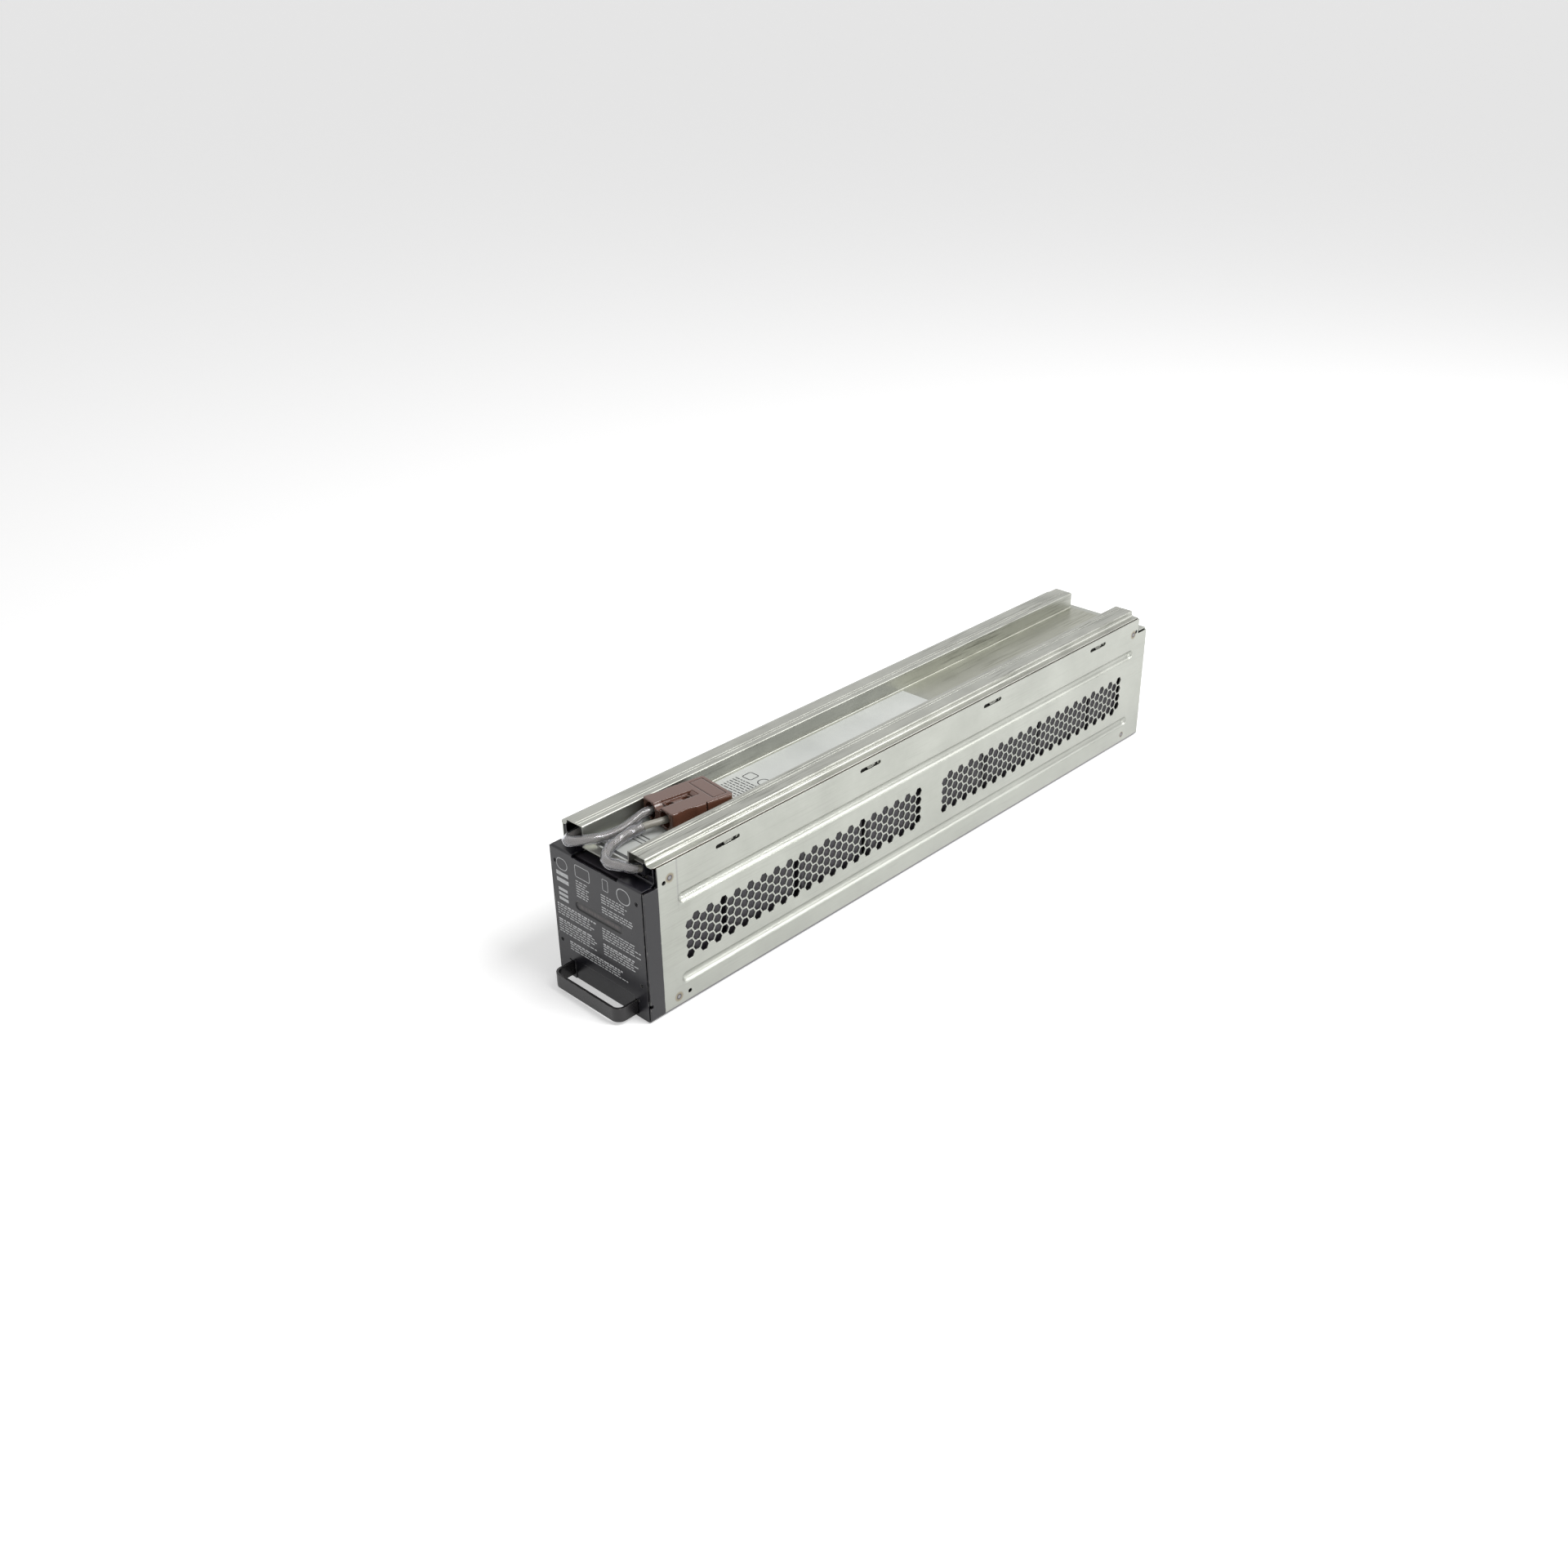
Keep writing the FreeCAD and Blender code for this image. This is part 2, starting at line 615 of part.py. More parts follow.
# ---------------------------------------------------------------- batteries
def battery_start(i):
    return battery_front + i * battery_pitch


def battery(i):
    """One sealed battery: a drawn container, a lid with sunk terminal corners and a vent bar."""
    y0 = battery_start(i)
    y1 = y0 + battery_length
    wide = battery_width / 2
    body = box(-wide, wide, y0, y1, floor_top, lid_top)
    upright = [e for e in body.Edges if abs(e.tangentAt(0).z) > 0.9]
    body = body.makeChamfer(battery_bevel, upright)
    seam = lid_top - battery_lid
    ring = box(-wide - past, wide + past, y0 - past, y1 + past, seam - seam_height, seam)
    core = box(-wide + seam_depth, wide - seam_depth, y0 + seam_depth, y1 - seam_depth,
               seam - seam_height, seam)
    cuts = [ring.cut(core)]
    for side in (-1, 1):
        x = side * terminal_side
        cuts.append(box(x - pocket_width / 2, x + pocket_width / 2, y0 + pocket_margin,
                        y0 + 2 * terminal_front - pocket_margin, lid_top - pocket_depth, lid_top + past))
    for y in (y0 + battery_length / 2 - lid_groove_reach, y0 + battery_length / 2 + lid_groove_reach):
        cuts.append(box(-wide + lid_groove_margin, wide - lid_groove_margin, y, y + 1,
                        lid_top - seam_height, lid_top + past))
    return one(body.cut(cuts))


def terminals():
    blades = []
    for i in range(battery_count):
        y = battery_start(i) + terminal_front
        for side in (-1, 1):
            x = side * terminal_side
            foot = box(x - pocket_margin, x + pocket_margin, y - pocket_margin, y + pocket_margin,
                       lid_top - pocket_depth, lid_top - blade_sunk)
            blade = box(x - blade_sheet / 2, x + blade_sheet / 2, y - blade_width / 2,
                        y + blade_width / 2, lid_top - blade_sunk, blade_top)
            blades.append(one(foot.fuse(blade)))
    return Part.makeCompound(blades)


def series_links():
    """Flat links in insulating sleeve, each from one battery's blade to the next one's."""
    links = []
    for i in range(battery_count - 1):
        side = -1 if i % 2 == 0 else 1
        x = side * (terminal_side + blade_sheet / 2 + link_sheet)
        y0 = battery_start(i) + terminal_front
        y1 = y0 + battery_pitch
        low, high = lid_top + link_lift, lid_top + link_height
        bar = outline([v(x, y0 - link_end, low), v(x, y0 - link_end, high),
                       v(x, y1 + link_end, high), v(x, y1 + link_end, low)],
                      Vector(-side * link_sheet, 0, 0))
        inside = box(-half, half, y0 + link_end + 1, y1 - link_end - 1, lid_top, lid_top + link_arch)
        links.append(one(bar.cut(inside)))
    return Part.makeCompound(links)


def base_pad():
    start = frame_depth + frame_tab_length + pad_margin
    side = inner - pad_margin
    return box(-side, side, start, case_length - pad_margin, case_sheet, floor_top)


def separator_strips():
    strips = []
    for i in range(battery_count - 1):
        y0 = battery_start(i) + battery_length
        for x in (-strip_middle, strip_middle):
            strips.append(box(x - strip_width / 2, x + strip_width / 2, y0, y0 + battery_gap,
                              floor_top + strip_foot, lid_top - battery_lid - strip_drop))
    return Part.makeCompound(strips)


def hold_down_foam():
    top = deck_height - cover_sheet
    return box(-foam_width / 2, foam_width / 2, battery_front + foam_front,
               battery_start(battery_count - 1) + foam_rear, lid_top, top)


def deck_label():
    x = rail_inner - rail_bend - label_margin
    return box(-x, x, label_start, label_end, deck_height, deck_height + label_sheet)


# ---------------------------------------------------------------- connector
def connector_placement():
    """From the connector's own frame, with its bottom at z = 0, to where it lies on the label."""
    turn = FreeCAD.Rotation(Vector(0, 0, 1), connector_turn)
    turn = turn.multiply(FreeCAD.Rotation(Vector(1, 0, 0), connector_pitch))
    turn = turn.multiply(FreeCAD.Rotation(Vector(0, 1, 0), connector_roll))
    corners = [Vector(sx * connector_width / 2, sy * connector_length / 2, 0)
               for sx in (-1, 1) for sy in (-1, 1)]
    lowest = min(turn.multVec(corner).z for corner in corners)
    x, y = connector_place
    return FreeCAD.Placement(v(x, y, deck_height + label_sheet + connector_lift - lowest), turn)


def place_connector(shape):
    moved = shape.copy()
    moved.Placement = connector_placement().multiply(moved.Placement)
    return moved


def connector_sides():
    """What is cut in each half: cable port, mating port, contact channel, finger hollow, groove."""
    w, l, t = connector_width / 2, connector_length / 2, connector_thick
    along = Vector(0, 1, 0)
    cuts = []
    for side in (-1, 1):
        x = side * connector_pole
        cuts.append(Part.makeCylinder(connector_port / 2, port_depth + past,
                                      Vector(x, -l - past, t / 2), along))
        cuts.append(Part.makeBox(mate_width, mate_depth + past, t - 2 * connector_wall,
                                 Vector(x - mate_width / 2, l - mate_depth, connector_wall)))
        reach = connector_length - channel_start - mate_depth + past
        cuts.append(Part.makeBox(channel, reach, channel,
                                 Vector(x - channel / 2, channel_start - l, (t - channel) / 2)))
        middle = side * (w + scallop_radius - scallop_depth)
        cuts.append(Part.makeCylinder(scallop_radius, t + 2 * past,
                                      Vector(middle, scallop_middle - l, -past)))
        x0 = min(side * w, side * (w - split_depth))
        cuts.append(Part.makeBox(split_depth, split_width, t + 2 * past,
                                 Vector(x0, split_place - l, -past)))
    return cuts


def connector_top():
    """What is cut in the top: saddle, trough with its two nut wells, and the border groove."""
    w, l, t = connector_width / 2, connector_length / 2, connector_thick
    saddle = Part.makeCylinder(saddle_radius, saddle_end + 3 * past,
                               Vector(0, -l - 3 * past, t + saddle_lift), Vector(0, 1, 0))
    trough = Part.makeBox(trough_width, trough_length, trough_depth + past,
                          Vector(-trough_width / 2, trough_start - l, t - trough_depth))
    wells = [Part.makeCylinder(nut_radius, nut_depth, Vector(0, y - l, t - nut_depth))
             for y in nut_places]
    outer = Part.makeBox(2 * (w - border_side), border_length, border_depth + past,
                         Vector(border_side - w, l - mate_depth, t - border_depth))
    inset = border_side + border_width
    field = Part.makeBox(2 * (w - inset), border_length - 2 * border_width, 2 * past,
                         Vector(inset - w, l - mate_depth + border_width, t - past))
    return [saddle, trough, outer.cut(field)] + wells


def connector_body():
    """Moulded housing with two round cable ports in front and two flat mating ports behind."""
    w, l, t = connector_width / 2, connector_length / 2, connector_thick
    body = Part.makeBox(2 * w, 2 * l, t, Vector(-w, -l, 0))
    upright = [e for e in body.Edges if abs(e.tangentAt(0).z) > 0.9]
    body = body.makeFillet(connector_corner, upright)
    tops = [e for e in body.Edges if all(abs(end.Z - t) < 1e-6 for end in e.Vertexes)]
    body = body.makeFillet(connector_edge, tops)
    return one(body.cut(connector_sides() + connector_top()))


def connector_housing():
    return place_connector(connector_body())


def connector_contacts():
    parts = []
    l, t = connector_length / 2, connector_thick
    for side in (-1, 1):
        x = side * connector_pole
        barrel = Part.makeCylinder(barrel_width / 2, barrel_end - connector_entry,
                                   Vector(x, connector_entry - l, t / 2), Vector(0, 1, 0))
        tongue = Part.makeBox(tongue_width, tongue_end - barrel_end + past, tongue_sheet,
                              Vector(x - tongue_width / 2, barrel_end - past - l, (t - tongue_sheet) / 2))
        hook = Part.makeBox(tongue_width, tongue_hook, 1.5 * tongue_sheet,
                            Vector(x - tongue_width / 2, tongue_end - tongue_hook - l, t / 2 - tongue_sheet))
        parts.append(place_connector(one(barrel.fuse([tongue, hook]))))
    return Part.makeCompound(parts)


def connector_springs():
    parts = []
    l = connector_length / 2
    for side in (-1, 1):
        x = side * connector_pole
        leaf = Part.makeBox(spring_width, spring_length, spring_sheet,
                            Vector(x - spring_width / 2, l - mate_depth, connector_wall))
        parts.append(place_connector(leaf))
    return Part.makeCompound(parts)


# ---------------------------------------------------------------- cables
# Points after the two on the port's own axis, which connector_exit works out.
left_route = [(-13.6, 49.6, 118.6), (-13.7, 39.2, 117.4), (-14.1, 29.0, 116.8), (-15.2, 19.4, 116.8),
              (-17.6, 9.8, 117.0), (-23.4, 2.6, 115.6), (-30.2, 1.0, 113.5), (-34.9, 6.0, 112.6),
              (-34.6, 16.2, 114.4), (-32.8, 28.0, 115.0), (-32.0, 47.0, 115.2), (-31.6, 82.0, 115.0),
              (-32.6, 151.0, 115.4), (-31.9, 224.0, 115.1), (-32.5, 298.0, 115.4),
              (-31.8, 372.0, 115.1), (-32.4, 446.0, 115.3), (-31.9, 505.0, 114.8),
              (-31.4, 541.0, 113.4),
              (-26.0, 565.0, 106.5), (0.0, 574.0, 106.3), (20.0, 568.0, 106.5), (28.6, 558.5, 108.4),
              (32.2, 549.7, 111.0), (32.2, 540.7, 111.0)]
right_route = [(1.0, 47.6, 119.0), (-1.9, 37.8, 117.6), (-3.0, 28.2, 116.8), (-2.2, 18.6, 116.6),
               (1.2, 9.6, 116.6), (6.2, 2.4, 113.4), (14.6, 0.9, 111.6), (23.4, 0.8, 112.0),
               (32.2, 4.2, 112.6), (32.2, 13.9, 112.6)]


def connector_exit(side):
    """The end of a contact's barrel, and the point where the cable's first run ends."""
    place = connector_placement()
    x = side * connector_pole
    z = connector_thick / 2
    start = connector_entry - connector_length / 2
    ahead = -connector_length / 2 - connector_exit_run
    return [place.multVec(Vector(x, start, z)), place.multVec(Vector(x, ahead, z))]


def cable_points(side):
    route = left_route if side < 0 else right_route
    return connector_exit(side) + [v(*point) for point in route]


def bend_radii(points):
    """Each bend takes 0.45 of its shorter run."""
    radii = []
    for i in range(1, len(points) - 1):
        a, b = points[i] - points[i - 1], points[i + 1] - points[i]
        radii.append(0.45 * min(a.Length, b.Length) / math.tan(a.getAngle(b) / 2))
    return radii


def flat_sided(path, start, ahead, width, sides):
    """A tube of flat sides along the path; the width is across its corners."""
    out = ahead.cross(Vector(0, 0, 1)).normalize()
    up = out.cross(ahead)
    corners = []
    for i in range(sides):
        turn = 2 * math.pi * i / sides
        corners.append(start + (out * math.cos(turn) + up * math.sin(turn)) * (width / 2))
    ring = Part.makePolygon(corners + [corners[0]])
    return path.makePipeShell([ring], True, False)


def cable(side):
    points = cable_points(side)
    radii = bend_radii(points)
    path = rounded_path(points, radii)
    ahead = (points[1] - points[0]).normalize()
    solid = flat_sided(path, points[0], ahead, cable_width, cable_sides)
    section = cable_sides / 2 * (cable_width / 2) ** 2 * math.sin(2 * math.pi / cable_sides)
    print("bend radii", [round(radius, 1) for radius in radii])
    print("cable %.1f mm long, volume ratio %.4f" % (path.Length, solid.Volume / (section * path.Length)))
    return solid


def sleeve(side):
    """A clear sleeve along the cable, from in front of the connector to inside the rail."""
    points = cable_points(side)
    radii = bend_radii(points)
    last = sleeve_last_left if side < 0 else len(points) - 2
    middle = [(points[i] + points[i + 1]) * 0.5 for i in (1, last)]
    path = rounded_path([middle[0]] + points[2:last + 1] + [middle[1]], radii[1:last])
    ahead = (points[2] - points[1]).normalize()
    outside = flat_sided(path, middle[0], ahead, sleeve_width, sleeve_sides)
    bore = flat_sided(path, middle[0], ahead, sleeve_width - 2 * sleeve_wall, sleeve_sides)
    return outside.cut(bore)


# ---------------------------------------------------------------- cable ends
def lug_places():
    """Middle of each blade that takes a cable: the first battery's and the last one's, right side."""
    return [battery_start(i) + terminal_front for i in (0, battery_count - 1)]


def terminal_lugs():
    """Flat lugs that lie against the blades and turn over the top of their boots."""
    parts = []
    side = terminal_side + blade_sheet / 2
    for y in lug_places():
        y0, y1 = y - blade_width / 2, y + blade_width / 2
        leg = box(side, side + lug_sheet, y0, y1, lid_top + 0.4, lug_height)
        arm = box(rail_inner + cover_sheet + lug_arm_gap, side + lug_sheet, y0, y1,
                  lug_height - lug_sheet, lug_height)
        parts.append(one(leg.fuse(arm)))
    return Part.makeCompound(parts)


def lug_boots():
    """Tapered insulating boots round the lugs and the blades."""
    parts = []
    side = terminal_side + blade_sheet / 2
    low, high = boot_low, lug_height - lug_sheet - boot_top_gap
    for y in lug_places():
        ahead = boot_front_left if y > case_length / 2 else boot_front_right
        y0, y1 = y - ahead, y + boot_length - ahead
        shape = outline([v(terminal_side - 3.0, y0, low), v(terminal_side + 3.2, y0, low),
                         v(terminal_side + 2.2, y0, high), v(terminal_side - 2.0, y0, high)],
                        Vector(0, y1 - y0, 0))
        pocket = box(terminal_side - blade_sheet / 2 - 0.1, side + lug_sheet + 0.05,
                     y - blade_width / 2 - 0.1, y + blade_width / 2 + 0.1, low - 1, high + 1)
        parts.append(one(shape.cut(pocket)))
    return Part.makeCompound(parts)


os.makedirs("parts", exist_ok=True)
nodes = {"case_tray": case_tray(), "top_cover": top_cover(), "front_frame": front_frame(),
         "front_plate": front_plate(), "pull_handle": pull_handle(), "rear_cap": rear_cap(),
         "side_rivets": side_rivets(), "plate_rivets": plate_rivets(), "base_pad": base_pad(),
         "separator_strips": separator_strips(), "battery_terminals": terminals(),
         "series_links": series_links(), "hold_down_foam": hold_down_foam(), "deck_label": deck_label(),
         "connector_housing": connector_housing(), "connector_contacts": connector_contacts(),
         "connector_springs": connector_springs(), "left_cable": cable(-1), "right_cable": cable(1),
         "left_sleeve": sleeve(-1), "right_sleeve": sleeve(1), "terminal_lugs": terminal_lugs(),
         "lug_boots": lug_boots()}
for i in range(battery_count):
    nodes["battery_%d" % (i + 1)] = battery(i)
for name, shape in nodes.items():
    limits = shape.BoundBox
    print("%-20s %d solids, %9.1f mm3, valid %s, x %.1f..%.1f y %.1f..%.1f z %.1f..%.1f" %
          (name, len(shape.Solids), shape.Volume, shape.isValid(), limits.XMin, limits.XMax,
           limits.YMin, limits.YMax, limits.ZMin, limits.ZMax))
    shape.exportStep("parts/%s.step" % name)
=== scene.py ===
import math
import random

import bmesh
import bpy
from mathutils import Matrix, Vector, noise


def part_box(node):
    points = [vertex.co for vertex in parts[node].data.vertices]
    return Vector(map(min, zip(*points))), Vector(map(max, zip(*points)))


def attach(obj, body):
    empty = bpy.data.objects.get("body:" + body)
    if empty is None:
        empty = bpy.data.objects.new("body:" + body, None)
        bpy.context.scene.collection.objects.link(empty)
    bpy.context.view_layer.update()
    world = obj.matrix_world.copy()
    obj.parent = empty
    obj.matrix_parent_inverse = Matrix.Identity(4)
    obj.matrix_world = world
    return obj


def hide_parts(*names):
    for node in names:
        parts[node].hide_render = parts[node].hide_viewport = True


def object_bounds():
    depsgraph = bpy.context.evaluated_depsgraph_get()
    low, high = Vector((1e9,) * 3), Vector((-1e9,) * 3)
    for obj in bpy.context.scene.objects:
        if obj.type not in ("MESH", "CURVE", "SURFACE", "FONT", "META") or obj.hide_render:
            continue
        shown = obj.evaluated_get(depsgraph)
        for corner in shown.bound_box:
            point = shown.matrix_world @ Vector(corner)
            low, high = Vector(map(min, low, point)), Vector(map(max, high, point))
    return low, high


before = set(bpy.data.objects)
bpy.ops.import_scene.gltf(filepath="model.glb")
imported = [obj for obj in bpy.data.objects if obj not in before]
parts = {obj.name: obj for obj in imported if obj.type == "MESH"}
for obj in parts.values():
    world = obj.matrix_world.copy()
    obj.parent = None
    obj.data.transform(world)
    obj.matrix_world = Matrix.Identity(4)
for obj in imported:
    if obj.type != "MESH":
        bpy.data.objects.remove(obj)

cad_box = [list(corner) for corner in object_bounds()]

# ---- Tray -------------------------------------------------------------------------------------
# The tray is one blank of zinc-coated steel, 1 mm thick, punched with hexagon vents, pressed with
# four long beads and folded up into a U. It carries everything else.
def linear(code):
    """A #rrggbb colour as the linear values that shader sockets take."""
    shares = [int(code[i:i + 2], 16) / 255 for i in (1, 3, 5)]
    return [c / 12.92 if c <= 0.04045 else ((c + 0.055) / 1.055) ** 2.4 for c in shares] + [1.0]


def add(tree, kind, inputs=(), **fields):
    """One shader node with its settings, its sockets set to values or linked.

    A node given for a socket is linked by its first output.
    """
    made = tree.nodes.new(kind)
    for field, value in fields.items():
        setattr(made, field, value)
    for socket, value in dict(inputs).items():
        if isinstance(value, bpy.types.Node):
            value = value.outputs[0]
        if isinstance(value, bpy.types.NodeSocket):
            tree.links.new(value, made.inputs[socket])
        else:
            made.inputs[socket].default_value = value
    return made


def begin(name):
    """A new material with an empty tree, and the part's own coordinates in metres."""
    material = bpy.data.materials.new(name)
    material.use_nodes = True
    material.node_tree.nodes.clear()
    where = add(material.node_tree, "ShaderNodeTexCoord").outputs["Object"]
    return material, material.node_tree, where


def close(tree, shader):
    add(tree, "ShaderNodeOutputMaterial", {"Surface": shader})


def dress(material, *names):
    """Gives the named parts that material and no other."""
    for name in names:
        slots = parts[name].data.materials
        slots.clear()
        slots.append(material)


def per(mm):
    """The scale of a pattern whose features are that many millimetres wide."""
    return 1000 / mm


front_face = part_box("front_plate")[0][1]
tray_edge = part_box("case_tray")[1][2]
bead_low = 0.0225
bead_high = 0.088
bead_reach = 0.0048
fold_top = 0.0036
press_line = front_face + 0.0302
rivet_spots = [(front_face + y / 1000, z / 1000) for y, z in
               ((23.6, 108.0), (26.0, 9.8), (574.0, 9.8), (579.0, 106.4))]
stained_rivets = rivet_spots[:2] + rivet_spots[3:]
rivet_rim = 0.0028
# Place and radius of a small hole near the rear. It is not cut; a dark disc is painted there.
rear_hole = (front_face + 0.5832, 0.1081)
rear_hole_radius = 0.0015


def from_spots(tree, where, places):
    """The distance in metres, seen along X, to the nearest of the places (y, z)."""
    flat = add(tree, "ShaderNodeVectorMath", {0: where, 1: (0.0, 1.0, 1.0)}, operation="MULTIPLY")
    nearest = 1.0
    for y, z in places:
        away = add(tree, "ShaderNodeVectorMath", {0: flat, 1: (0.0, y, z)}, operation="DISTANCE")
        nearest = add(tree, "ShaderNodeMath", {0: nearest, 1: away.outputs["Value"]}, operation="MINIMUM")
    return nearest


def stained(tree, colour, stains):
    """The colour under its stains, each a share (a node or a socket) and a hex colour."""
    for share, stain in stains:
        layer = add(tree, "ShaderNodeMix", {"Factor": share, "A": colour, "B": linear(stain)},
                    data_type="RGBA")
        colour = layer.outputs["Result"]
    return colour


def sheet_colour(tree, where, light, dark, streaks, scratches):
    """The sheet's colour, and its smudges 40 mm wide.

    Over them lie dark sliding streaks, 1.4 mm apart, that come and go over 90 mm, and a few
    slanting scratches.
    """
    smudge = add(tree, "ShaderNodeTexNoise", {"Vector": where, "Scale": per(40), "Detail": 5.0,
                                              "Roughness": 0.6})
    tone = add(tree, "ShaderNodeMapRange", {"Value": smudge, "From Min": 0.3, "From Max": 0.7})
    along = add(tree, "ShaderNodeMapping", {"Vector": where, "Scale": (1.0, 0.03, 1.0)})
    lines = add(tree, "ShaderNodeTexNoise", {"Vector": along, "Scale": per(1.4), "Detail": 4.0,
                                             "Roughness": 0.65})
    drawn = add(tree, "ShaderNodeMapRange", {"Value": lines, "From Min": 0.50, "From Max": 0.64,
                                             "To Max": streaks})
    fresh = add(tree, "ShaderNodeTexNoise", {"Vector": where, "Scale": per(90), "Detail": 2.0})
    rubbed = add(tree, "ShaderNodeMapRange", {"Value": fresh, "From Min": 0.42, "From Max": 0.62,
                                              "To Min": 0.12})
    worn = add(tree, "ShaderNodeMath", {0: drawn, 1: rubbed}, operation="MULTIPLY")
    slant = add(tree, "ShaderNodeMapping", {"Vector": where, "Rotation": (0.35, 0.0, 0.0),
                                            "Scale": (1.0, 0.03, 1.0)})
    marks = add(tree, "ShaderNodeTexNoise", {"Vector": slant, "Scale": per(1.2), "Detail": 2.0})
    cut = add(tree, "ShaderNodeMapRange", {"Value": marks, "From Min": 0.70, "From Max": 0.76,
                                           "To Max": scratches})
    layers = ((tone, light), (worn, "#56574f"), (cut, "#71726d"))
    return stained(tree, linear(dark), layers), smudge


def sheet_finish(tree, where, colour, smudge, roughness, edge_radius):
    """The zinc coat's satin shine, with rolling marks along Y.

    The marks are drawn 0.8 mm apart, coarser than they are, so that they show.
    """
    along = add(tree, "ShaderNodeMapping", {"Vector": where, "Scale": (1.0, 0.02, 1.0)})
    grain = add(tree, "ShaderNodeTexNoise", {"Vector": along, "Scale": per(0.8), "Detail": 3.0})
    edge = add(tree, "ShaderNodeBevel", {"Radius": edge_radius}, samples=8)
    bump = add(tree, "ShaderNodeBump", {"Height": grain, "Strength": 0.08, "Distance": 0.0001,
                                        "Normal": edge})
    rough = add(tree, "ShaderNodeMapRange", {"Value": smudge, "From Min": 0.25, "From Max": 0.75,
                                             "To Min": roughness - 0.05, "To Max": roughness + 0.06})
    return add(tree, "ShaderNodeBsdfPrincipled", {"Base Color": colour, "Metallic": 0.9,
                                                  "Roughness": rough, "Normal": bump})


def tray_sheet(name):
    """Zinc-coated sheet: pale, satin, a trace of green, faintly smudged, with stains at its rivets.

    The wall is painted darker towards the bottom and darker still on its lowest fold, both painted
    shade. A faint line of painted shade marks a bend near the front, and a painted dark disc stands
    for the shade in a small hole near the rear. The beads were drawn with soft edges of about 2 mm.
    """
    steel, tree, where = begin(name)
    colour, smudge = sheet_colour(tree, where, "#acaea7", "#a0a29b", 0.10, 0.14)
    axes = add(tree, "ShaderNodeSeparateXYZ", {"Vector": where})
    up = axes.outputs["Z"]
    # Painted shade: the wall is painted darker towards the bottom, for the darker floor it reflects there.
    bottom_shade = add(tree, "ShaderNodeMapRange", {"Value": up, "From Min": 0.050, "From Max": 0.006,
                                             "To Max": 0.30})
    # Painted shade: the lowest fold faces down towards the floor's contact shadow and is painted dark.
    fold = add(tree, "ShaderNodeMapRange", {"Value": up, "From Min": fold_top,
                                            "From Max": fold_top - 0.0012, "To Max": 0.9})
    # Painted shade: a faint dark line where a bend line crosses the wall near the front.
    off = add(tree, "ShaderNodeMath", {0: axes.outputs["Y"], 1: press_line}, operation="SUBTRACT")
    off = add(tree, "ShaderNodeMath", {0: off}, operation="ABSOLUTE")
    line = add(tree, "ShaderNodeMapRange", {"Value": off, "From Min": 0.0011, "From Max": 0.0003,
                                            "To Max": 0.28})
    high = add(tree, "ShaderNodeMapRange", {"Value": up, "From Min": bead_high - 0.012,
                                            "From Max": bead_high + 0.008})
    line = add(tree, "ShaderNodeMath", {0: line, 1: high}, operation="MULTIPLY")
    away = from_spots(tree, where, stained_rivets)
    halo = add(tree, "ShaderNodeMapRange", {"Value": away, "From Min": rivet_rim + 0.0016,
                                            "From Max": rivet_rim, "To Max": 0.80})
    # Painted shade: a dark disc stands for the shade inside a small hole near the rear.
    hole_shade = from_spots(tree, where, [rear_hole])
    hole_shade = add(tree, "ShaderNodeMapRange", {"Value": hole_shade, "From Min": rear_hole_radius + 0.0003,
                                            "From Max": rear_hole_radius})
    colour = stained(tree, colour, ((bottom_shade, "#8b8c89"), (fold, "#33323c"), (line, "#6e6c74"),
                                    (halo, "#827863"), (hole_shade, "#060505")))
    above = add(tree, "ShaderNodeMath", {0: up, 1: bead_low}, operation="SUBTRACT")
    apart = add(tree, "ShaderNodeMath", {0: above, 1: (bead_high - bead_low) / 2}, operation="PINGPONG")
    soft_edge = add(tree, "ShaderNodeMapRange", {"Value": apart, "From Min": bead_reach,
                                                 "From Max": bead_reach + 0.0018,
                                                 "To Min": 0.0022, "To Max": 0.0004})
    close(tree, sheet_finish(tree, where, colour, smudge, 0.36, soft_edge))
    return steel


tray_steel = tray_sheet("zinc_coated_tray_sheet")
dress(tray_steel, "case_tray")

# ---- Pad under the batteries, foam strips -------------------------------------------------------
# A thin black insulating sheet lies on the tray's floor. Strips of closed-cell foam keep the
# batteries apart and hold them down under the cover.
def closed_cell_foam(name, colour):
    """Closed-cell foam: dark, matt, with a fine skin of bubbles about 0.6 mm wide."""
    foam, tree, where = begin(name)
    cells = add(tree, "ShaderNodeTexVoronoi", {"Vector": where, "Scale": per(0.6)})
    bump = add(tree, "ShaderNodeBump", {"Height": cells, "Strength": 0.4, "Distance": 0.0003})
    close(tree, add(tree, "ShaderNodeBsdfPrincipled", {"Base Color": linear(colour), "Roughness": 0.9,
                                                       "Normal": bump}))
    return foam


dress(closed_cell_foam("foam_strip_grey", "#3a3538"), "separator_strips", "hold_down_foam")
dress(closed_cell_foam("insulating_sheet_black", "#1d1818"), "base_pad")

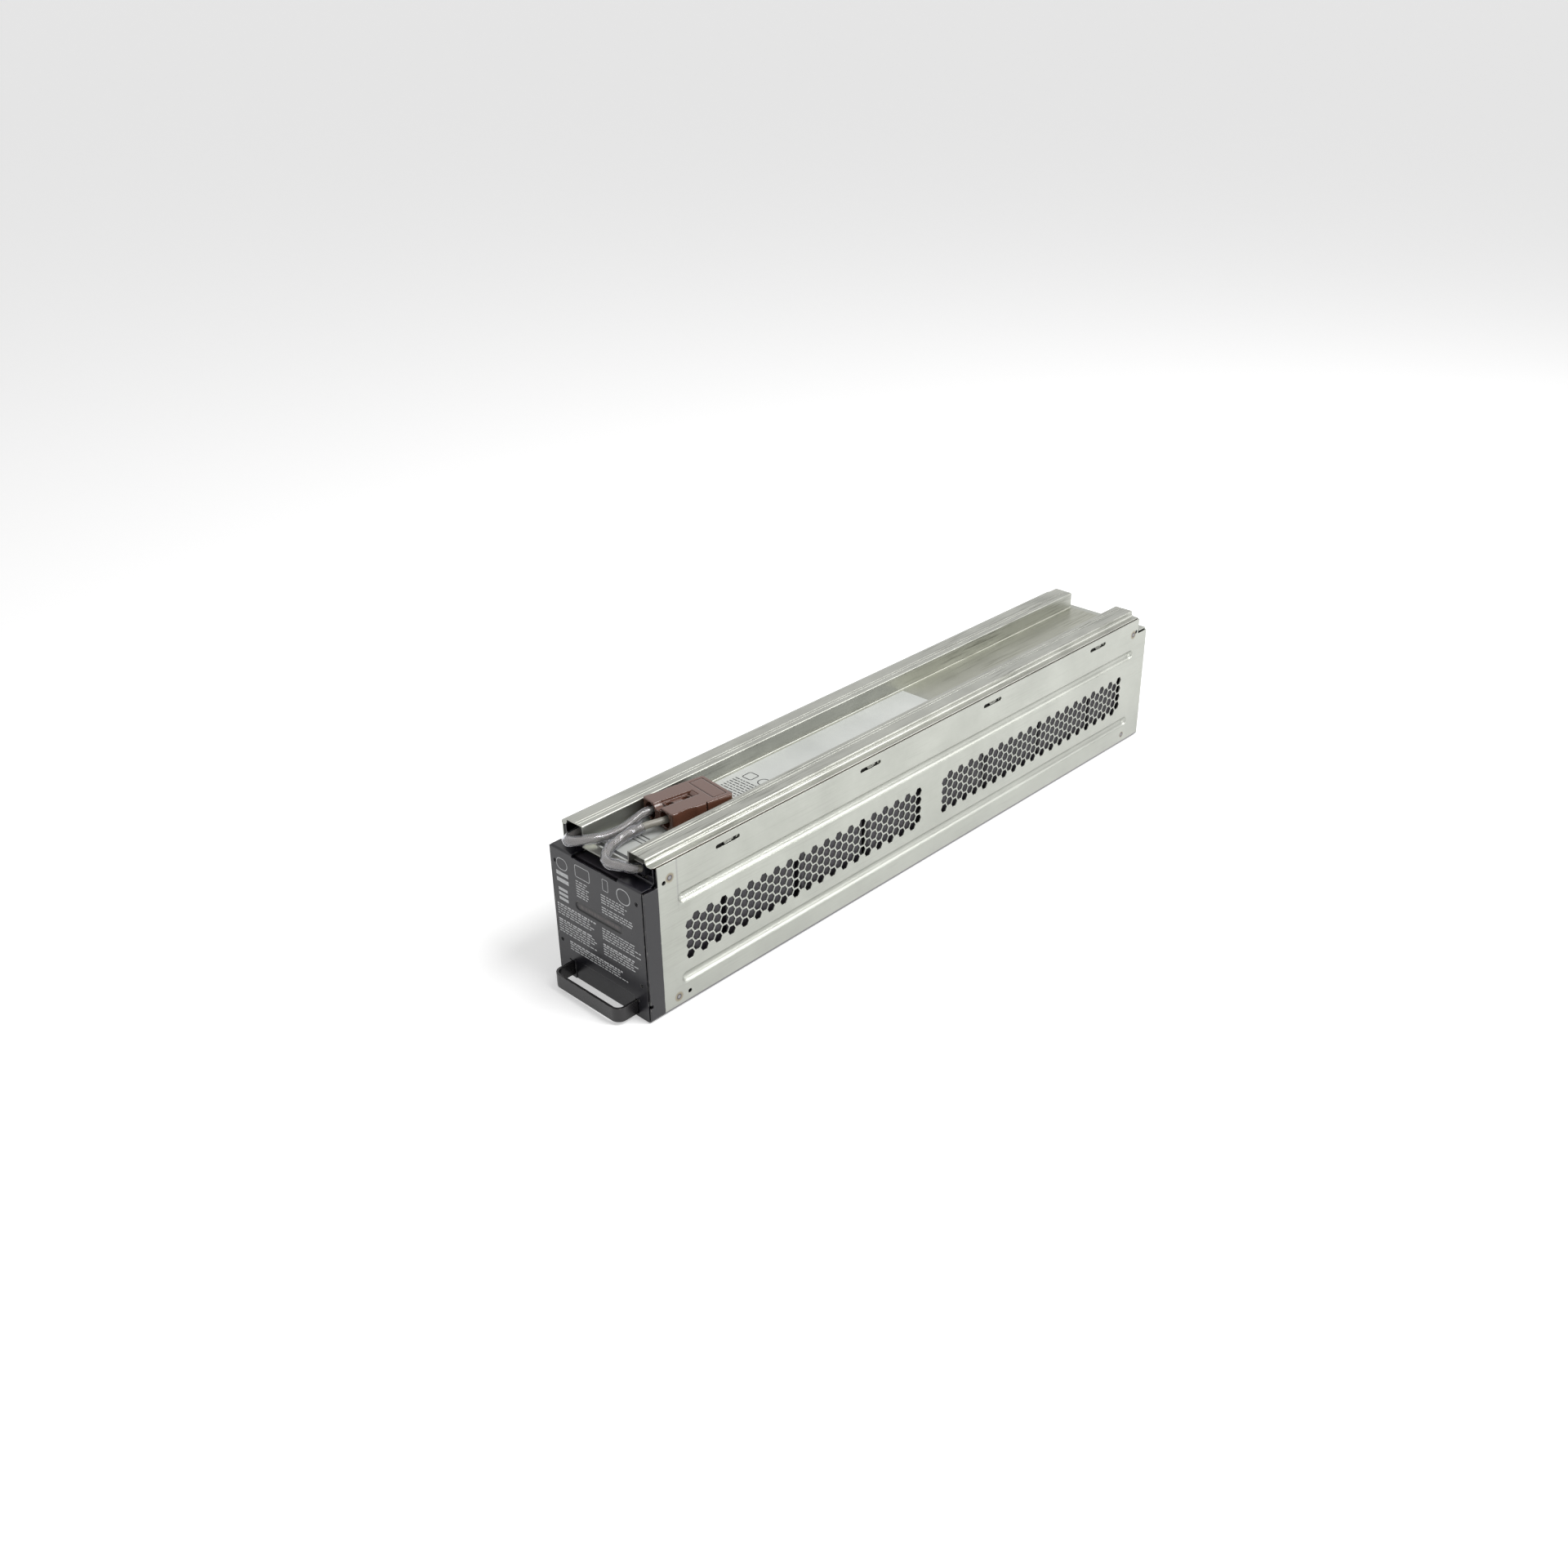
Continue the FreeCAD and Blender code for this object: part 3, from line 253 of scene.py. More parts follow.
# ---- Batteries ----------------------------------------------------------------------------------
# Eight sealed batteries in a row: moulded ABS containers with glued lids, seen as dark shapes
# behind the vents.
def moulded_abs(name, colour, roughness, edge_radius=0.0005, coat=0.0):
    """Moulded ABS or polycarbonate: even colour with a fine spark-eroded texture.

    The texture is drawn 0.4 mm from grain to grain, coarser than it is, so that it can show.
    """
    plastic, tree, where = begin(name)
    grain = add(tree, "ShaderNodeTexNoise", {"Vector": where, "Scale": per(0.4), "Detail": 2.0})
    edge = add(tree, "ShaderNodeBevel", {"Radius": edge_radius}, samples=8)
    bump = add(tree, "ShaderNodeBump", {"Height": grain, "Strength": 0.12, "Distance": 0.0001,
                                        "Normal": edge})
    close(tree, add(tree, "ShaderNodeBsdfPrincipled", {"Base Color": linear(colour), "Roughness": roughness,
                                                       "IOR": 1.53, "Normal": bump,
                                                       "Coat Weight": coat, "Coat Roughness": 0.1,
                                                       "Coat Normal": bump}))
    return plastic


dress(moulded_abs("battery_abs_dark_grey", "#2f2c32", 0.5),
      *[name for name in parts if name.removeprefix("battery_").isdigit()])

# ---- Terminals, links, lugs ---------------------------------------------------------------------
# Tinned brass blades stand on the lids. Flat links in black sleeve join them in series, and lugs
# with rubber boots take the two cables.
def plated_metal(name, colour, roughness, metallic=1.0):
    """Plated brass or copper, or spring steel: bright, with faint drawing marks along Y.

    The marks are drawn 0.3 mm apart, coarser than they are.
    """
    metal, tree, where = begin(name)
    along = add(tree, "ShaderNodeMapping", {"Vector": where, "Scale": (1.0, 0.05, 1.0)})
    marks = add(tree, "ShaderNodeTexNoise", {"Vector": along, "Scale": per(0.3), "Detail": 2.0})
    bump = add(tree, "ShaderNodeBump", {"Height": marks, "Strength": 0.1, "Distance": 0.0001})
    close(tree, add(tree, "ShaderNodeBsdfPrincipled", {"Base Color": linear(colour), "Metallic": metallic,
                                                       "Roughness": roughness, "Normal": bump}))
    return metal


dress(plated_metal("tinned_brass", "#e9e8e1", 0.38, metallic=0.6), "battery_terminals", "terminal_lugs")
dress(moulded_abs("link_sleeve_black", "#232324", 0.45), "series_links")
dress(moulded_abs("boot_rubber_black", "#2a2a30", 0.38), "lug_boots")

# ---- Rear cap -----------------------------------------------------------------------------------
# The rear end is closed by a folded plate of the same steel. Its tabs are riveted inside the
# tray's side walls.
dress(tray_steel, "rear_cap")

# ---- Front end ----------------------------------------------------------------------------------
# A folded frame, a panel and a flat strap handle, all powder-coated in satin black. The coat is
# rubbed grey on some corners.
dent_level = 0.0658
dent_straight = 0.0205
dent_edge = 0.0052


def grip_dent(tree, where):
    """The panel's pressed dent: its edges' radius, the painted shade of its dark border, and its worn
    stripe as a stain.
    """
    shift = add(tree, "ShaderNodeVectorMath", {0: where, 1: (0.0, 0.0, dent_level)}, operation="SUBTRACT")
    axes = add(tree, "ShaderNodeSeparateXYZ", {"Vector": shift})
    past = add(tree, "ShaderNodeMath", {0: axes.outputs["X"]}, operation="ABSOLUTE")
    past = add(tree, "ShaderNodeMath", {0: past, 1: dent_straight}, operation="SUBTRACT")
    past = add(tree, "ShaderNodeMath", {0: past, 1: 0.0}, operation="MAXIMUM")
    reach = add(tree, "ShaderNodeCombineXYZ", {"X": past, "Z": axes.outputs["Z"]})
    away = add(tree, "ShaderNodeVectorMath", {0: reach}, operation="LENGTH").outputs["Value"]
    ribs = add(tree, "ShaderNodeMapping", {"Vector": where, "Scale": (1.0, 1.0, 0.15)})
    ribs = add(tree, "ShaderNodeTexNoise", {"Vector": ribs, "Scale": per(1.4), "Detail": 3.0})
    ribs = add(tree, "ShaderNodeMapRange", {"Value": ribs, "From Min": 0.38, "From Max": 0.58,
                                            "To Min": 0.30})
    stripe = add(tree, "ShaderNodeMapRange", {"Value": away, "From Min": 0.0020, "From Max": 0.0006})
    worn = add(tree, "ShaderNodeMath", {0: stripe, 1: ribs}, operation="MULTIPLY")
    # The dark border round the dent is painted shade of its edges; the stripe down its middle is wear.
    outer = add(tree, "ShaderNodeMapRange", {"Value": away, "From Min": dent_edge, "From Max": 0.0030})
    inner = add(tree, "ShaderNodeMapRange", {"Value": away, "From Min": 0.0010, "From Max": 0.0024})
    border = add(tree, "ShaderNodeMath", {0: outer, 1: inner}, operation="MULTIPLY")
    radius = add(tree, "ShaderNodeMapRange", {"Value": away, "From Min": dent_edge + 0.0010,
                                              "From Max": dent_edge - 0.0002,
                                              "To Min": 0.0005, "To Max": 0.0020})
    return radius, ((border, "#050405"), (worn, "#504644"))


def powder_coat(name, colour, roughness, dented=False):
    """Satin powder coat: near black, with the soft ripple of orange peel, about 1.5 mm wide.

    Its sharp edges are rubbed grey in places, and dust dulls it in patches of 22 mm.
    """
    coat, tree, where = begin(name)
    radius, dent_shade_and_wear = grip_dent(tree, where) if dented else (0.0005, ())
    peel = add(tree, "ShaderNodeTexNoise", {"Vector": where, "Scale": per(1.5), "Detail": 1.0})
    edge = add(tree, "ShaderNodeBevel", {"Radius": radius}, samples=8)
    bump = add(tree, "ShaderNodeBump", {"Height": peel, "Strength": 0.10, "Distance": 0.0002,
                                        "Normal": edge})
    face = add(tree, "ShaderNodeNewGeometry")
    turned = add(tree, "ShaderNodeVectorMath", {0: edge, 1: face.outputs["Normal"]},
                 operation="DOT_PRODUCT")
    chips = add(tree, "ShaderNodeTexNoise", {"Vector": where, "Scale": per(5), "Detail": 4.0})
    ridge = add(tree, "ShaderNodeMapRange", {"Value": turned.outputs["Value"], "From Min": 0.97,
                                             "From Max": 0.85})
    patch = add(tree, "ShaderNodeMapRange", {"Value": chips, "From Min": 0.52, "From Max": 0.66})
    rubbed = add(tree, "ShaderNodeMath", {0: ridge, 1: patch}, operation="MULTIPLY")
    # On the panel, the dent's dark border among these stains is painted shade.
    base = stained(tree, linear(colour), ((rubbed, "#a5a39d"), *dent_shade_and_wear))
    dust = add(tree, "ShaderNodeTexNoise", {"Vector": where, "Scale": per(22), "Detail": 6.0,
                                            "Roughness": 0.7})
    rough = add(tree, "ShaderNodeMapRange", {"Value": dust, "From Min": 0.3, "From Max": 0.7,
                                             "To Min": roughness - 0.05, "To Max": roughness + 0.07})
    close(tree, add(tree, "ShaderNodeBsdfPrincipled", {"Base Color": base, "IOR": 1.5,
                                                       "Roughness": rough, "Normal": bump}))
    return coat


dress(powder_coat("frame_black_powder_coat", "#131217", 0.33), "front_frame")
dress(powder_coat("panel_black_powder_coat", "#121118", 0.31, dented=True), "front_plate")
dress(powder_coat("handle_black_powder_coat", "#1c1a1c", 0.26), "pull_handle")

# ---- Print on the panel --------------------------------------------------------------------------
# White screen-printed ink, 0.03 mm thick, on the panel's face. It is plain: rounded frames above,
# and rows of bars of uneven length where the real panel is printed.
ink_thick = 0.00003
ink_gap = 0.00001
random_bars = random.Random(7)


def screen_ink(name, colour):
    """Screen-printed ink: matt and slightly thin, so that the paint shows through in specks."""
    ink, tree, where = begin(name)
    specks = add(tree, "ShaderNodeTexNoise", {"Vector": where, "Scale": per(0.5), "Detail": 2.0})
    worn = add(tree, "ShaderNodeMapRange", {"Value": specks, "From Min": 0.40, "From Max": 0.62,
                                            "To Max": 0.35})
    base = stained(tree, linear(colour), [(worn, "#6d6e70")])
    close(tree, add(tree, "ShaderNodeBsdfPrincipled", {"Base Color": base, "Roughness": 0.6,
                                                       "IOR": 1.5}))
    return ink


def placed(name, data):
    """A new object of that mesh, curve, lamp or camera, linked to the scene."""
    made = bpy.data.objects.new(name, data)
    bpy.context.scene.collection.objects.link(made)
    return made


def finished(build, name):
    """The built mesh as a placed object, its faces turned outwards."""
    mesh = bpy.data.meshes.new(name)
    bmesh.ops.recalc_face_normals(build, faces=build.faces)
    build.to_mesh(mesh)
    build.free()
    return placed(name, mesh)


def word_rows(x0, x1, top, bottom, pitch, height, bold_first):
    """Bars (x0, x1, z0, z1) of uneven length in rows, in millimetres, the first row taller if bold."""
    found = []
    z = top
    while z - height >= bottom:
        tall = height * 1.5 if bold_first and not found else height
        x = x0
        stop = x1 - random_bars.uniform(0.0, 0.25) * (x1 - x0)
        while x < stop - 1:
            wide = random_bars.uniform(1.6, 5.5)
            found.append((x, min(x + wide, stop), z - tall, z))
            x += wide + 0.9
        z -= pitch
    return found


def rounded_frame(x0, x1, z0, z1, corner, line, steps=6):
    """Outer and inner loops of a rounded rectangle drawn with a line of that width."""
    loops = []
    for inset in (0.0, line):
        radius = corner - inset
        loop = []
        for k, (cx, cz) in enumerate(((x1 - corner, z1 - corner), (x0 + corner, z1 - corner),
                                      (x0 + corner, z0 + corner), (x1 - corner, z0 + corner))):
            for i in range(steps + 1):
                turn = math.pi / 2 * (k + i / steps)
                loop.append((cx + radius * math.cos(turn), cz + radius * math.sin(turn)))
        loops.append(loop)
    return loops


def printed(name, bars, frames, place, out):
    """Ink bars and frames as one thin mesh; place turns (across, up) in mm into a point."""
    build = bmesh.new()
    lift = Vector(out) * ink_thick

    def solid(loop):
        low = [build.verts.new(place(a, b)) for a, b in loop]
        high = [build.verts.new(place(a, b) + lift) for a, b in loop]
        build.faces.new(high)
        for i in range(len(loop)):
            j = (i + 1) % len(loop)
            build.faces.new([low[i], low[j], high[j], high[i]])

    for x0, x1, z0, z1 in bars:
        solid([(x0, z0), (x1, z0), (x1, z1), (x0, z1)])
    for outer, inner in frames:
        for i in range(len(outer)):
            j = (i + 1) % len(outer)
            solid([outer[i], outer[j], inner[j], inner[i]])
    made = finished(build, name)
    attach(made, "root")
    return made


def on_panel(x, z):
    return Vector((x / 1000, front_face - ink_gap, z / 1000))


panel_bars = []
for x0, x1, top, bottom, bold in ((-46.0, -0.5, 59.5, 49.0, True), (-46.0, -4.0, 46.5, 33.5, True),
                                  (2.5, 44.0, 59.0, 49.5, False), (2.5, 44.0, 46.0, 36.0, True),
                                  (-35.5, 34.5, 31.0, 22.5, True), (-22.7, -8.0, 87.0, 73.0, False),
                                  (4.0, 36.0, 87.0, 80.0, False), (4.0, 38.0, 77.0, 72.0, False)):
    panel_bars += word_rows(x0, x1, top, bottom, 2.05, 0.85, bold)
for top in (87.0, 81.5):
    panel_bars.append((-44.0, -31.0, top - 3.2, top))
for top in (73.5, 69.5, 65.5):
    panel_bars.append((-43.0, -33.0, top - 2.4, top))
panel_frames = [rounded_frame(-43.0, -31.0, 89.0, 98.5, 4.6, 0.6),
                rounded_frame(-22.7, -7.0, 90.0, 100.0, 1.6, 0.55),
                rounded_frame(6.5, 12.5, 91.0, 100.5, 1.2, 0.45),
                rounded_frame(21.0, 35.0, 88.5, 100.5, 5.8, 0.7)]
panel_print = printed("panel_print", panel_bars, panel_frames, on_panel, (0, -1, 0))
panel_print.data.materials.append(screen_ink("white_screen_ink", "#d9dadb"))

# ---- Rivets -------------------------------------------------------------------------------------
# Steel rivets, pulled up flush, hold the end frame, the rear cap and the cover to the tray. Four
# black ones hold the panel.
def rivet_steel(name):
    """Pulled rivet: a dull brownish rim, a dark ring where the mandrel broke, a grey core."""
    steel, tree, where = begin(name)
    away = from_spots(tree, where, rivet_spots)
    shank = add(tree, "ShaderNodeMapRange", {"Value": away, "From Min": 0.0025, "From Max": 0.0018})
    core = add(tree, "ShaderNodeMapRange", {"Value": away, "From Min": 0.0017, "From Max": 0.0010})
    colour = stained(tree, linear("#8f8672"), ((shank, "#4f4c53"), (core, "#8b8a8b")))
    pits = add(tree, "ShaderNodeTexNoise", {"Vector": where, "Scale": per(0.5), "Detail": 3.0})
    edge = add(tree, "ShaderNodeBevel", {"Radius": 0.0006}, samples=8)
    bump = add(tree, "ShaderNodeBump", {"Height": pits, "Strength": 0.4, "Distance": 0.0002,
                                        "Normal": edge})
    close(tree, add(tree, "ShaderNodeBsdfPrincipled", {"Base Color": colour, "Metallic": 0.9,
                                                       "Roughness": 0.45, "Normal": bump}))
    return steel


dress(rivet_steel("rivet_steel_dull"), "side_rivets")
dress(powder_coat("panel_rivet_black", "#1c1c1e", 0.4), "plate_rivets")

# ---- Cover --------------------------------------------------------------------------------------
# One sheet of the same steel, folded into two hollow rails with a valley between them. Years of
# sliding have drawn dark lines along it.
valley_half = 0.0236
bare_floor = 0.05
ledge_start = 0.0466
skirt_inside = 0.044
label_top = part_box("deck_label")[1][2]
slot_first = 0.078
slot_pitch = 0.1485
slot_length = 0.023
slot_middle = 0.1125
slot_half = 0.0018
# Spans along each slot where the skirt is painted dark, standing for the shade of holes.
painted_hole_spans = ((0.0040, 0.0045), (0.0190, 0.0014))


def slot_shade(tree, where):
    """Painted shade on the skirt behind each slot of the side walls: 1 for a hole, 0.3 for the shaded
    sheet.

    Each slot shows a painted hole (middle, half length) near each end, joined by a painted gap along the
    bottom.
    """
    axes = add(tree, "ShaderNodeSeparateXYZ", {"Vector": where})
    start = front_face + slot_first - slot_length / 2
    along = add(tree, "ShaderNodeMath", {0: axes.outputs["Y"], 1: start}, operation="SUBTRACT")
    along = add(tree, "ShaderNodeMath", {0: along, 1: slot_pitch}, operation="FLOORED_MODULO")
    shade = add(tree, "ShaderNodeMath", {0: axes.outputs["Z"], 1: slot_middle - slot_half / 2},
                operation="LESS_THAN")
    shade = add(tree, "ShaderNodeMath", {0: shade, 1: 0.30}, operation="MAXIMUM")
    for middle, half in painted_hole_spans:
        hole_shade = add(tree, "ShaderNodeMath", {0: along, 1: middle, 2: half}, operation="COMPARE")
        shade = add(tree, "ShaderNodeMath", {0: shade, 1: hole_shade}, operation="MAXIMUM")
    level = add(tree, "ShaderNodeMath", {0: axes.outputs["Z"], 1: slot_middle, 2: slot_half},
                operation="COMPARE")
    inside = add(tree, "ShaderNodeMath", {0: along, 1: slot_length}, operation="LESS_THAN")
    side = add(tree, "ShaderNodeMath", {0: axes.outputs["X"]}, operation="ABSOLUTE")
    side = add(tree, "ShaderNodeMath", {0: side, 1: skirt_inside}, operation="GREATER_THAN")
    for bound in (level, inside, side):
        shade = add(tree, "ShaderNodeMath", {0: shade, 1: bound}, operation="MULTIPLY")
    return shade


def cover_sheet(name):
    """The same sheet, streaked dark along the rails; the bare valley floor is tinted dull yellow.

    A line of painted shade shows where the cover leaves the tray's edge, and painted shade stands for the
    holes seen through the slots.
    """
    steel, tree, where = begin(name)
    colour, smudge = sheet_colour(tree, where, "#afb0a9", "#a0a19a", 0.66, 0.25)
    axes = add(tree, "ShaderNodeSeparateXYZ", {"Vector": where})
    across = add(tree, "ShaderNodeMath", {0: axes.outputs["X"]}, operation="ABSOLUTE")
    within = add(tree, "ShaderNodeMath", {0: across, 1: valley_half}, operation="LESS_THAN")
    low = add(tree, "ShaderNodeMath", {0: axes.outputs["Z"], 1: label_top + 0.0006},
              operation="LESS_THAN")
    # A dull yellow tint on the low valley floor, fading in along Y from 50 mm.
    valley_tint = add(tree, "ShaderNodeMapRange", {"Value": axes.outputs["Y"], "From Min": bare_floor,
                                            "From Max": bare_floor + 0.02, "To Max": 0.35})
    for bound in (within, low):
        valley_tint = add(tree, "ShaderNodeMath", {0: valley_tint, 1: bound}, operation="MULTIPLY")
    # Painted shade: a thin dark line where the cover leaves the tray's edge, for the shade in the gap
    # between them.
    gap_shade = add(tree, "ShaderNodeMath", {0: axes.outputs["Z"], 1: tray_edge, 2: 0.00040},
               operation="COMPARE")
    outside = add(tree, "ShaderNodeMath", {0: across, 1: ledge_start}, operation="GREATER_THAN")
    gap_shade = add(tree, "ShaderNodeMath", {0: gap_shade, 1: outside}, operation="MULTIPLY")
    colour = stained(tree, colour, ((valley_tint, "#9d9d89"), (gap_shade, "#33261f"),
                                    (slot_shade(tree, where), "#070505")))
    close(tree, sheet_finish(tree, where, colour, smudge, 0.34, 0.0005))
    return steel


dress(cover_sheet("zinc_coated_cover_sheet"), "top_cover")

# ---- Label in the valley ------------------------------------------------------------------------
# A long grey film label is stuck to the valley floor. It carries plain bars and frames of dark
# ink near its front.
def film_label(name, colour):
    """Polyester film: pale flat grey, slightly glossy, stained in patches of 55 mm."""
    film, tree, where = begin(name)
    stain = add(tree, "ShaderNodeTexNoise", {"Vector": where, "Scale": per(55), "Detail": 5.0})
    base = stained(tree, linear(colour), [(stain, "#a7aaa7")])
    close(tree, add(tree, "ShaderNodeBsdfPrincipled", {"Base Color": base, "Roughness": 0.42,
                                                       "IOR": 1.45}))
    return film


dress(film_label("grey_film_label", "#cdcfcb"), "deck_label")


def on_label(x, y):
    return Vector((x / 1000, front_face + y / 1000, label_top + ink_gap))


label_bars = word_rows(-15.0, 14.0, 149.0, 117.0, 3.0, 1.1, False)
label_bars += [(-20.0, 20.0, 16.5, 19.5), (-16.0, 12.0, 44.0, 45.2), (-16.0, 8.0, 40.5, 41.5),
               (-16.0, 11.0, 37.0, 38.0)]
label_frames = [rounded_frame(-13.0, -3.0, 152.0, 162.0, 2.2, 0.9),
                rounded_frame(1.0, 11.0, 152.0, 162.0, 4.9, 0.9)]
label_print = printed("label_print", label_bars, label_frames, on_label, (0, 0, 1))
label_print.data.materials.append(screen_ink("dark_screen_ink", "#3f403f"))

# ---- Connector ----------------------------------------------------------------------------------
# A two-pole power connector, moulded in brown polycarbonate. Silver-plated contacts and flat
# steel springs sit inside it.
brown_moulding = moulded_abs("connector_polycarbonate_brown", "#5a3a2d", 0.17, edge_radius=0.0014,
                             coat=0.25)
dress(brown_moulding, "connector_housing")

housing_width = 0.0375
housing_length = 0.052
housing_thick = 0.015
trough_width = 0.0088
trough_depth = 0.002
trough_end = 0.0064
ramp_length = 0.0040
ramp_rise = 0.00185
ramp_gap = 0.00002
lean = (Matrix.Rotation(math.radians(-8.5), 3, "Z") @ Matrix.Rotation(math.radians(-0.6), 3, "X")
        @ Matrix.Rotation(math.radians(-1.5), 3, "Y"))
corner_drop = min((lean @ Vector((x * housing_width / 2, y * housing_length / 2, 0))).z
                  for x in (-1, 1) for y in (-1, 1))
housing_foot = Vector((0.00035, front_face + 0.0869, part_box("connector_housing")[0][2] - corner_drop))


def in_housing(x, y, z):
    """A point measured from the middle of the housing's underside, y to its mating end."""
    return housing_foot + lean @ Vector((x, y, z))


def trough_ramp(name):
    """The sloped end of the trough in the housing's top, between the rear nut well and the field."""
    low = housing_thick - trough_depth
    outline = [(trough_end - ramp_length, low), (trough_end, low), (trough_end, low + ramp_rise)]
    build = bmesh.new()
    ends = [[build.verts.new(in_housing(x, y, z + ramp_gap)) for y, z in outline]
            for x in (-trough_width / 2, trough_width / 2)]
    build.faces.new(ends[0])
    build.faces.new(ends[1])
    for i in range(3):
        j = (i + 1) % 3
        build.faces.new([ends[0][i], ends[0][j], ends[1][j], ends[1][i]])
    made = finished(build, name)
    made.data.materials.append(brown_moulding)
    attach(made, "root")


trough_ramp("connector_trough_ramp")
dress(plated_metal("silver_plated_copper", "#dcd9d0", 0.2), "connector_contacts")
dress(plated_metal("spring_steel_bright", "#a9aaac", 0.25), "connector_springs")

# ---- Cables -------------------------------------------------------------------------------------
# Two grey cables leave the connector straight out of its ports and run over the front end into the
# rails: the right one to the first battery, the left one along its rail to the last.
left_route = [(-13.6, 49.6, 117.6), (-12.6, 39.2, 116.2), (-12.2, 28.4, 116.0), (-13.4, 18.4, 116.4),
              (-17.0, 9.6, 117.2), (-23.2, 2.8, 116.2), (-30.4, 1.4, 114.2), (-34.8, 6.4, 113.2),
              (-34.6, 16.2, 114.4), (-32.8, 28.0, 115.0), (-32.0, 47.0, 115.2), (-31.6, 82.0, 115.0),
              (-32.6, 151.0, 115.4), (-31.9, 224.0, 115.1), (-32.5, 298.0, 115.4),
              (-31.8, 372.0, 115.1), (-32.4, 446.0, 115.3), (-31.9, 505.0, 114.8),
              (-31.4, 541.0, 113.4), (-26.0, 565.0, 106.5), (0.0, 574.0, 106.3), (20.0, 568.0, 106.5),
              (28.6, 558.5, 108.4), (32.2, 549.7, 111.0), (32.2, 540.7, 111.0)]
right_route = [(1.4, 47.4, 120.0), (-1.2, 37.6, 118.6), (-2.0, 27.6, 117.6), (-0.4, 17.6, 117.0),
               (4.2, 7.8, 116.8), (9.8, 0.8, 116.4), (17.6, -0.4, 116.2), (24.6, 4.8, 115.4),
               (30.2, 8.0, 114.0), (32.2, 13.9, 112.6)]
pole_reach = 0.0092
port_height = 0.00748
port_run = (-0.019, -0.030)


def in_metres(points):
    """Places x, y behind the front face and z, in millimetres, as points of the scene."""
    return [Vector((x / 1000, front_face + y / 1000, z / 1000)) for x, y, z in points]


def smooth_line(name, points):
    """An open NURBS curve with the route's points as its control points."""
    data = bpy.data.curves.new(name, "CURVE")
    data.dimensions = "3D"
    data.resolution_u = 10
    spline = data.splines.new("NURBS")
    spline.points.add(len(points) - 1)
    for slot, point in zip(spline.points, points):
        slot.co = (*point, 1.0)
    spline.order_u = 3
    spline.use_endpoint_u = True
    return placed(name, data)


def cable_jacket(name, colour):
    """Extruded cable jacket: smooth and slightly waxy."""
    jacket, tree, where = begin(name)
    scuff = add(tree, "ShaderNodeTexNoise", {"Vector": where, "Scale": per(2.5), "Detail": 3.0})
    rough = add(tree, "ShaderNodeMapRange", {"Value": scuff, "To Min": 0.3, "To Max": 0.5})
    close(tree, add(tree, "ShaderNodeBsdfPrincipled", {"Base Color": linear(colour), "IOR": 1.5,
                                                       "Roughness": rough}))
    return jacket


jacket_grey = cable_jacket("cable_jacket_grey", "#8b887f")
cable_width = 0.0052
cables = {}
for side, pole, route in (("left", -pole_reach, left_route), ("right", pole_reach, right_route)):
    points = [in_housing(pole, y, port_height) for y in port_run] + in_metres(route)
    cable = smooth_line(side + "_lead", points)
    cable.data.bevel_depth = cable_width / 2
    cable.data.bevel_resolution = 5
    cable.data.use_fill_caps = True
    cable.data.materials.append(jacket_grey)
    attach(cable, "root")
    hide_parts(side + "_cable")
    cables[side] = (cable, points)

# ---- Clear sleeves ------------------------------------------------------------------------------
# Each cable wears a loose sleeve of clear film, crumpled where it bends. The right one ends short
# of the connector and leaves some cable bare.
def clear_film(name):
    """Clear PVC sleeving: see-through, hazy, with a soft white shine; soft dimples 6 mm wide."""
    film, tree, where = begin(name)
    crease = add(tree, "ShaderNodeTexNoise", {"Vector": where, "Scale": per(6), "Detail": 1.0})
    bump = add(tree, "ShaderNodeBump", {"Height": crease, "Strength": 0.12, "Distance": 0.0005})
    close(tree, add(tree, "ShaderNodeBsdfPrincipled", {"Base Color": linear("#eeeef3"), "IOR": 1.38,
                                                       "Roughness": 0.035, "Transmission Weight": 0.985,
                                                       "Normal": bump}))
    return film


def line_points(line):
    """The points of a curve that has no thickness, in order."""
    mesh = bpy.data.meshes.new_from_object(line)
    found = [v.co.copy() for v in mesh.vertices]
    bpy.data.meshes.remove(mesh)
    return found


def even_points(points, start, end, step):
    """Points at equal steps along a line, from one length along it to another, with directions."""
    lengths = [0.0]
    for a, b in zip(points, points[1:]):
        lengths.append(lengths[-1] + (b - a).length)
    count = round((end - start) / step)
    found = []
    k = 0
    for i in range(count + 1):
        s = start + (end - start) * i / count
        while lengths[k + 1] < s:
            k += 1
        run = (points[k + 1] - points[k]).normalized()
        found.append((points[k] + run * (s - lengths[k]), run, s))
    return found


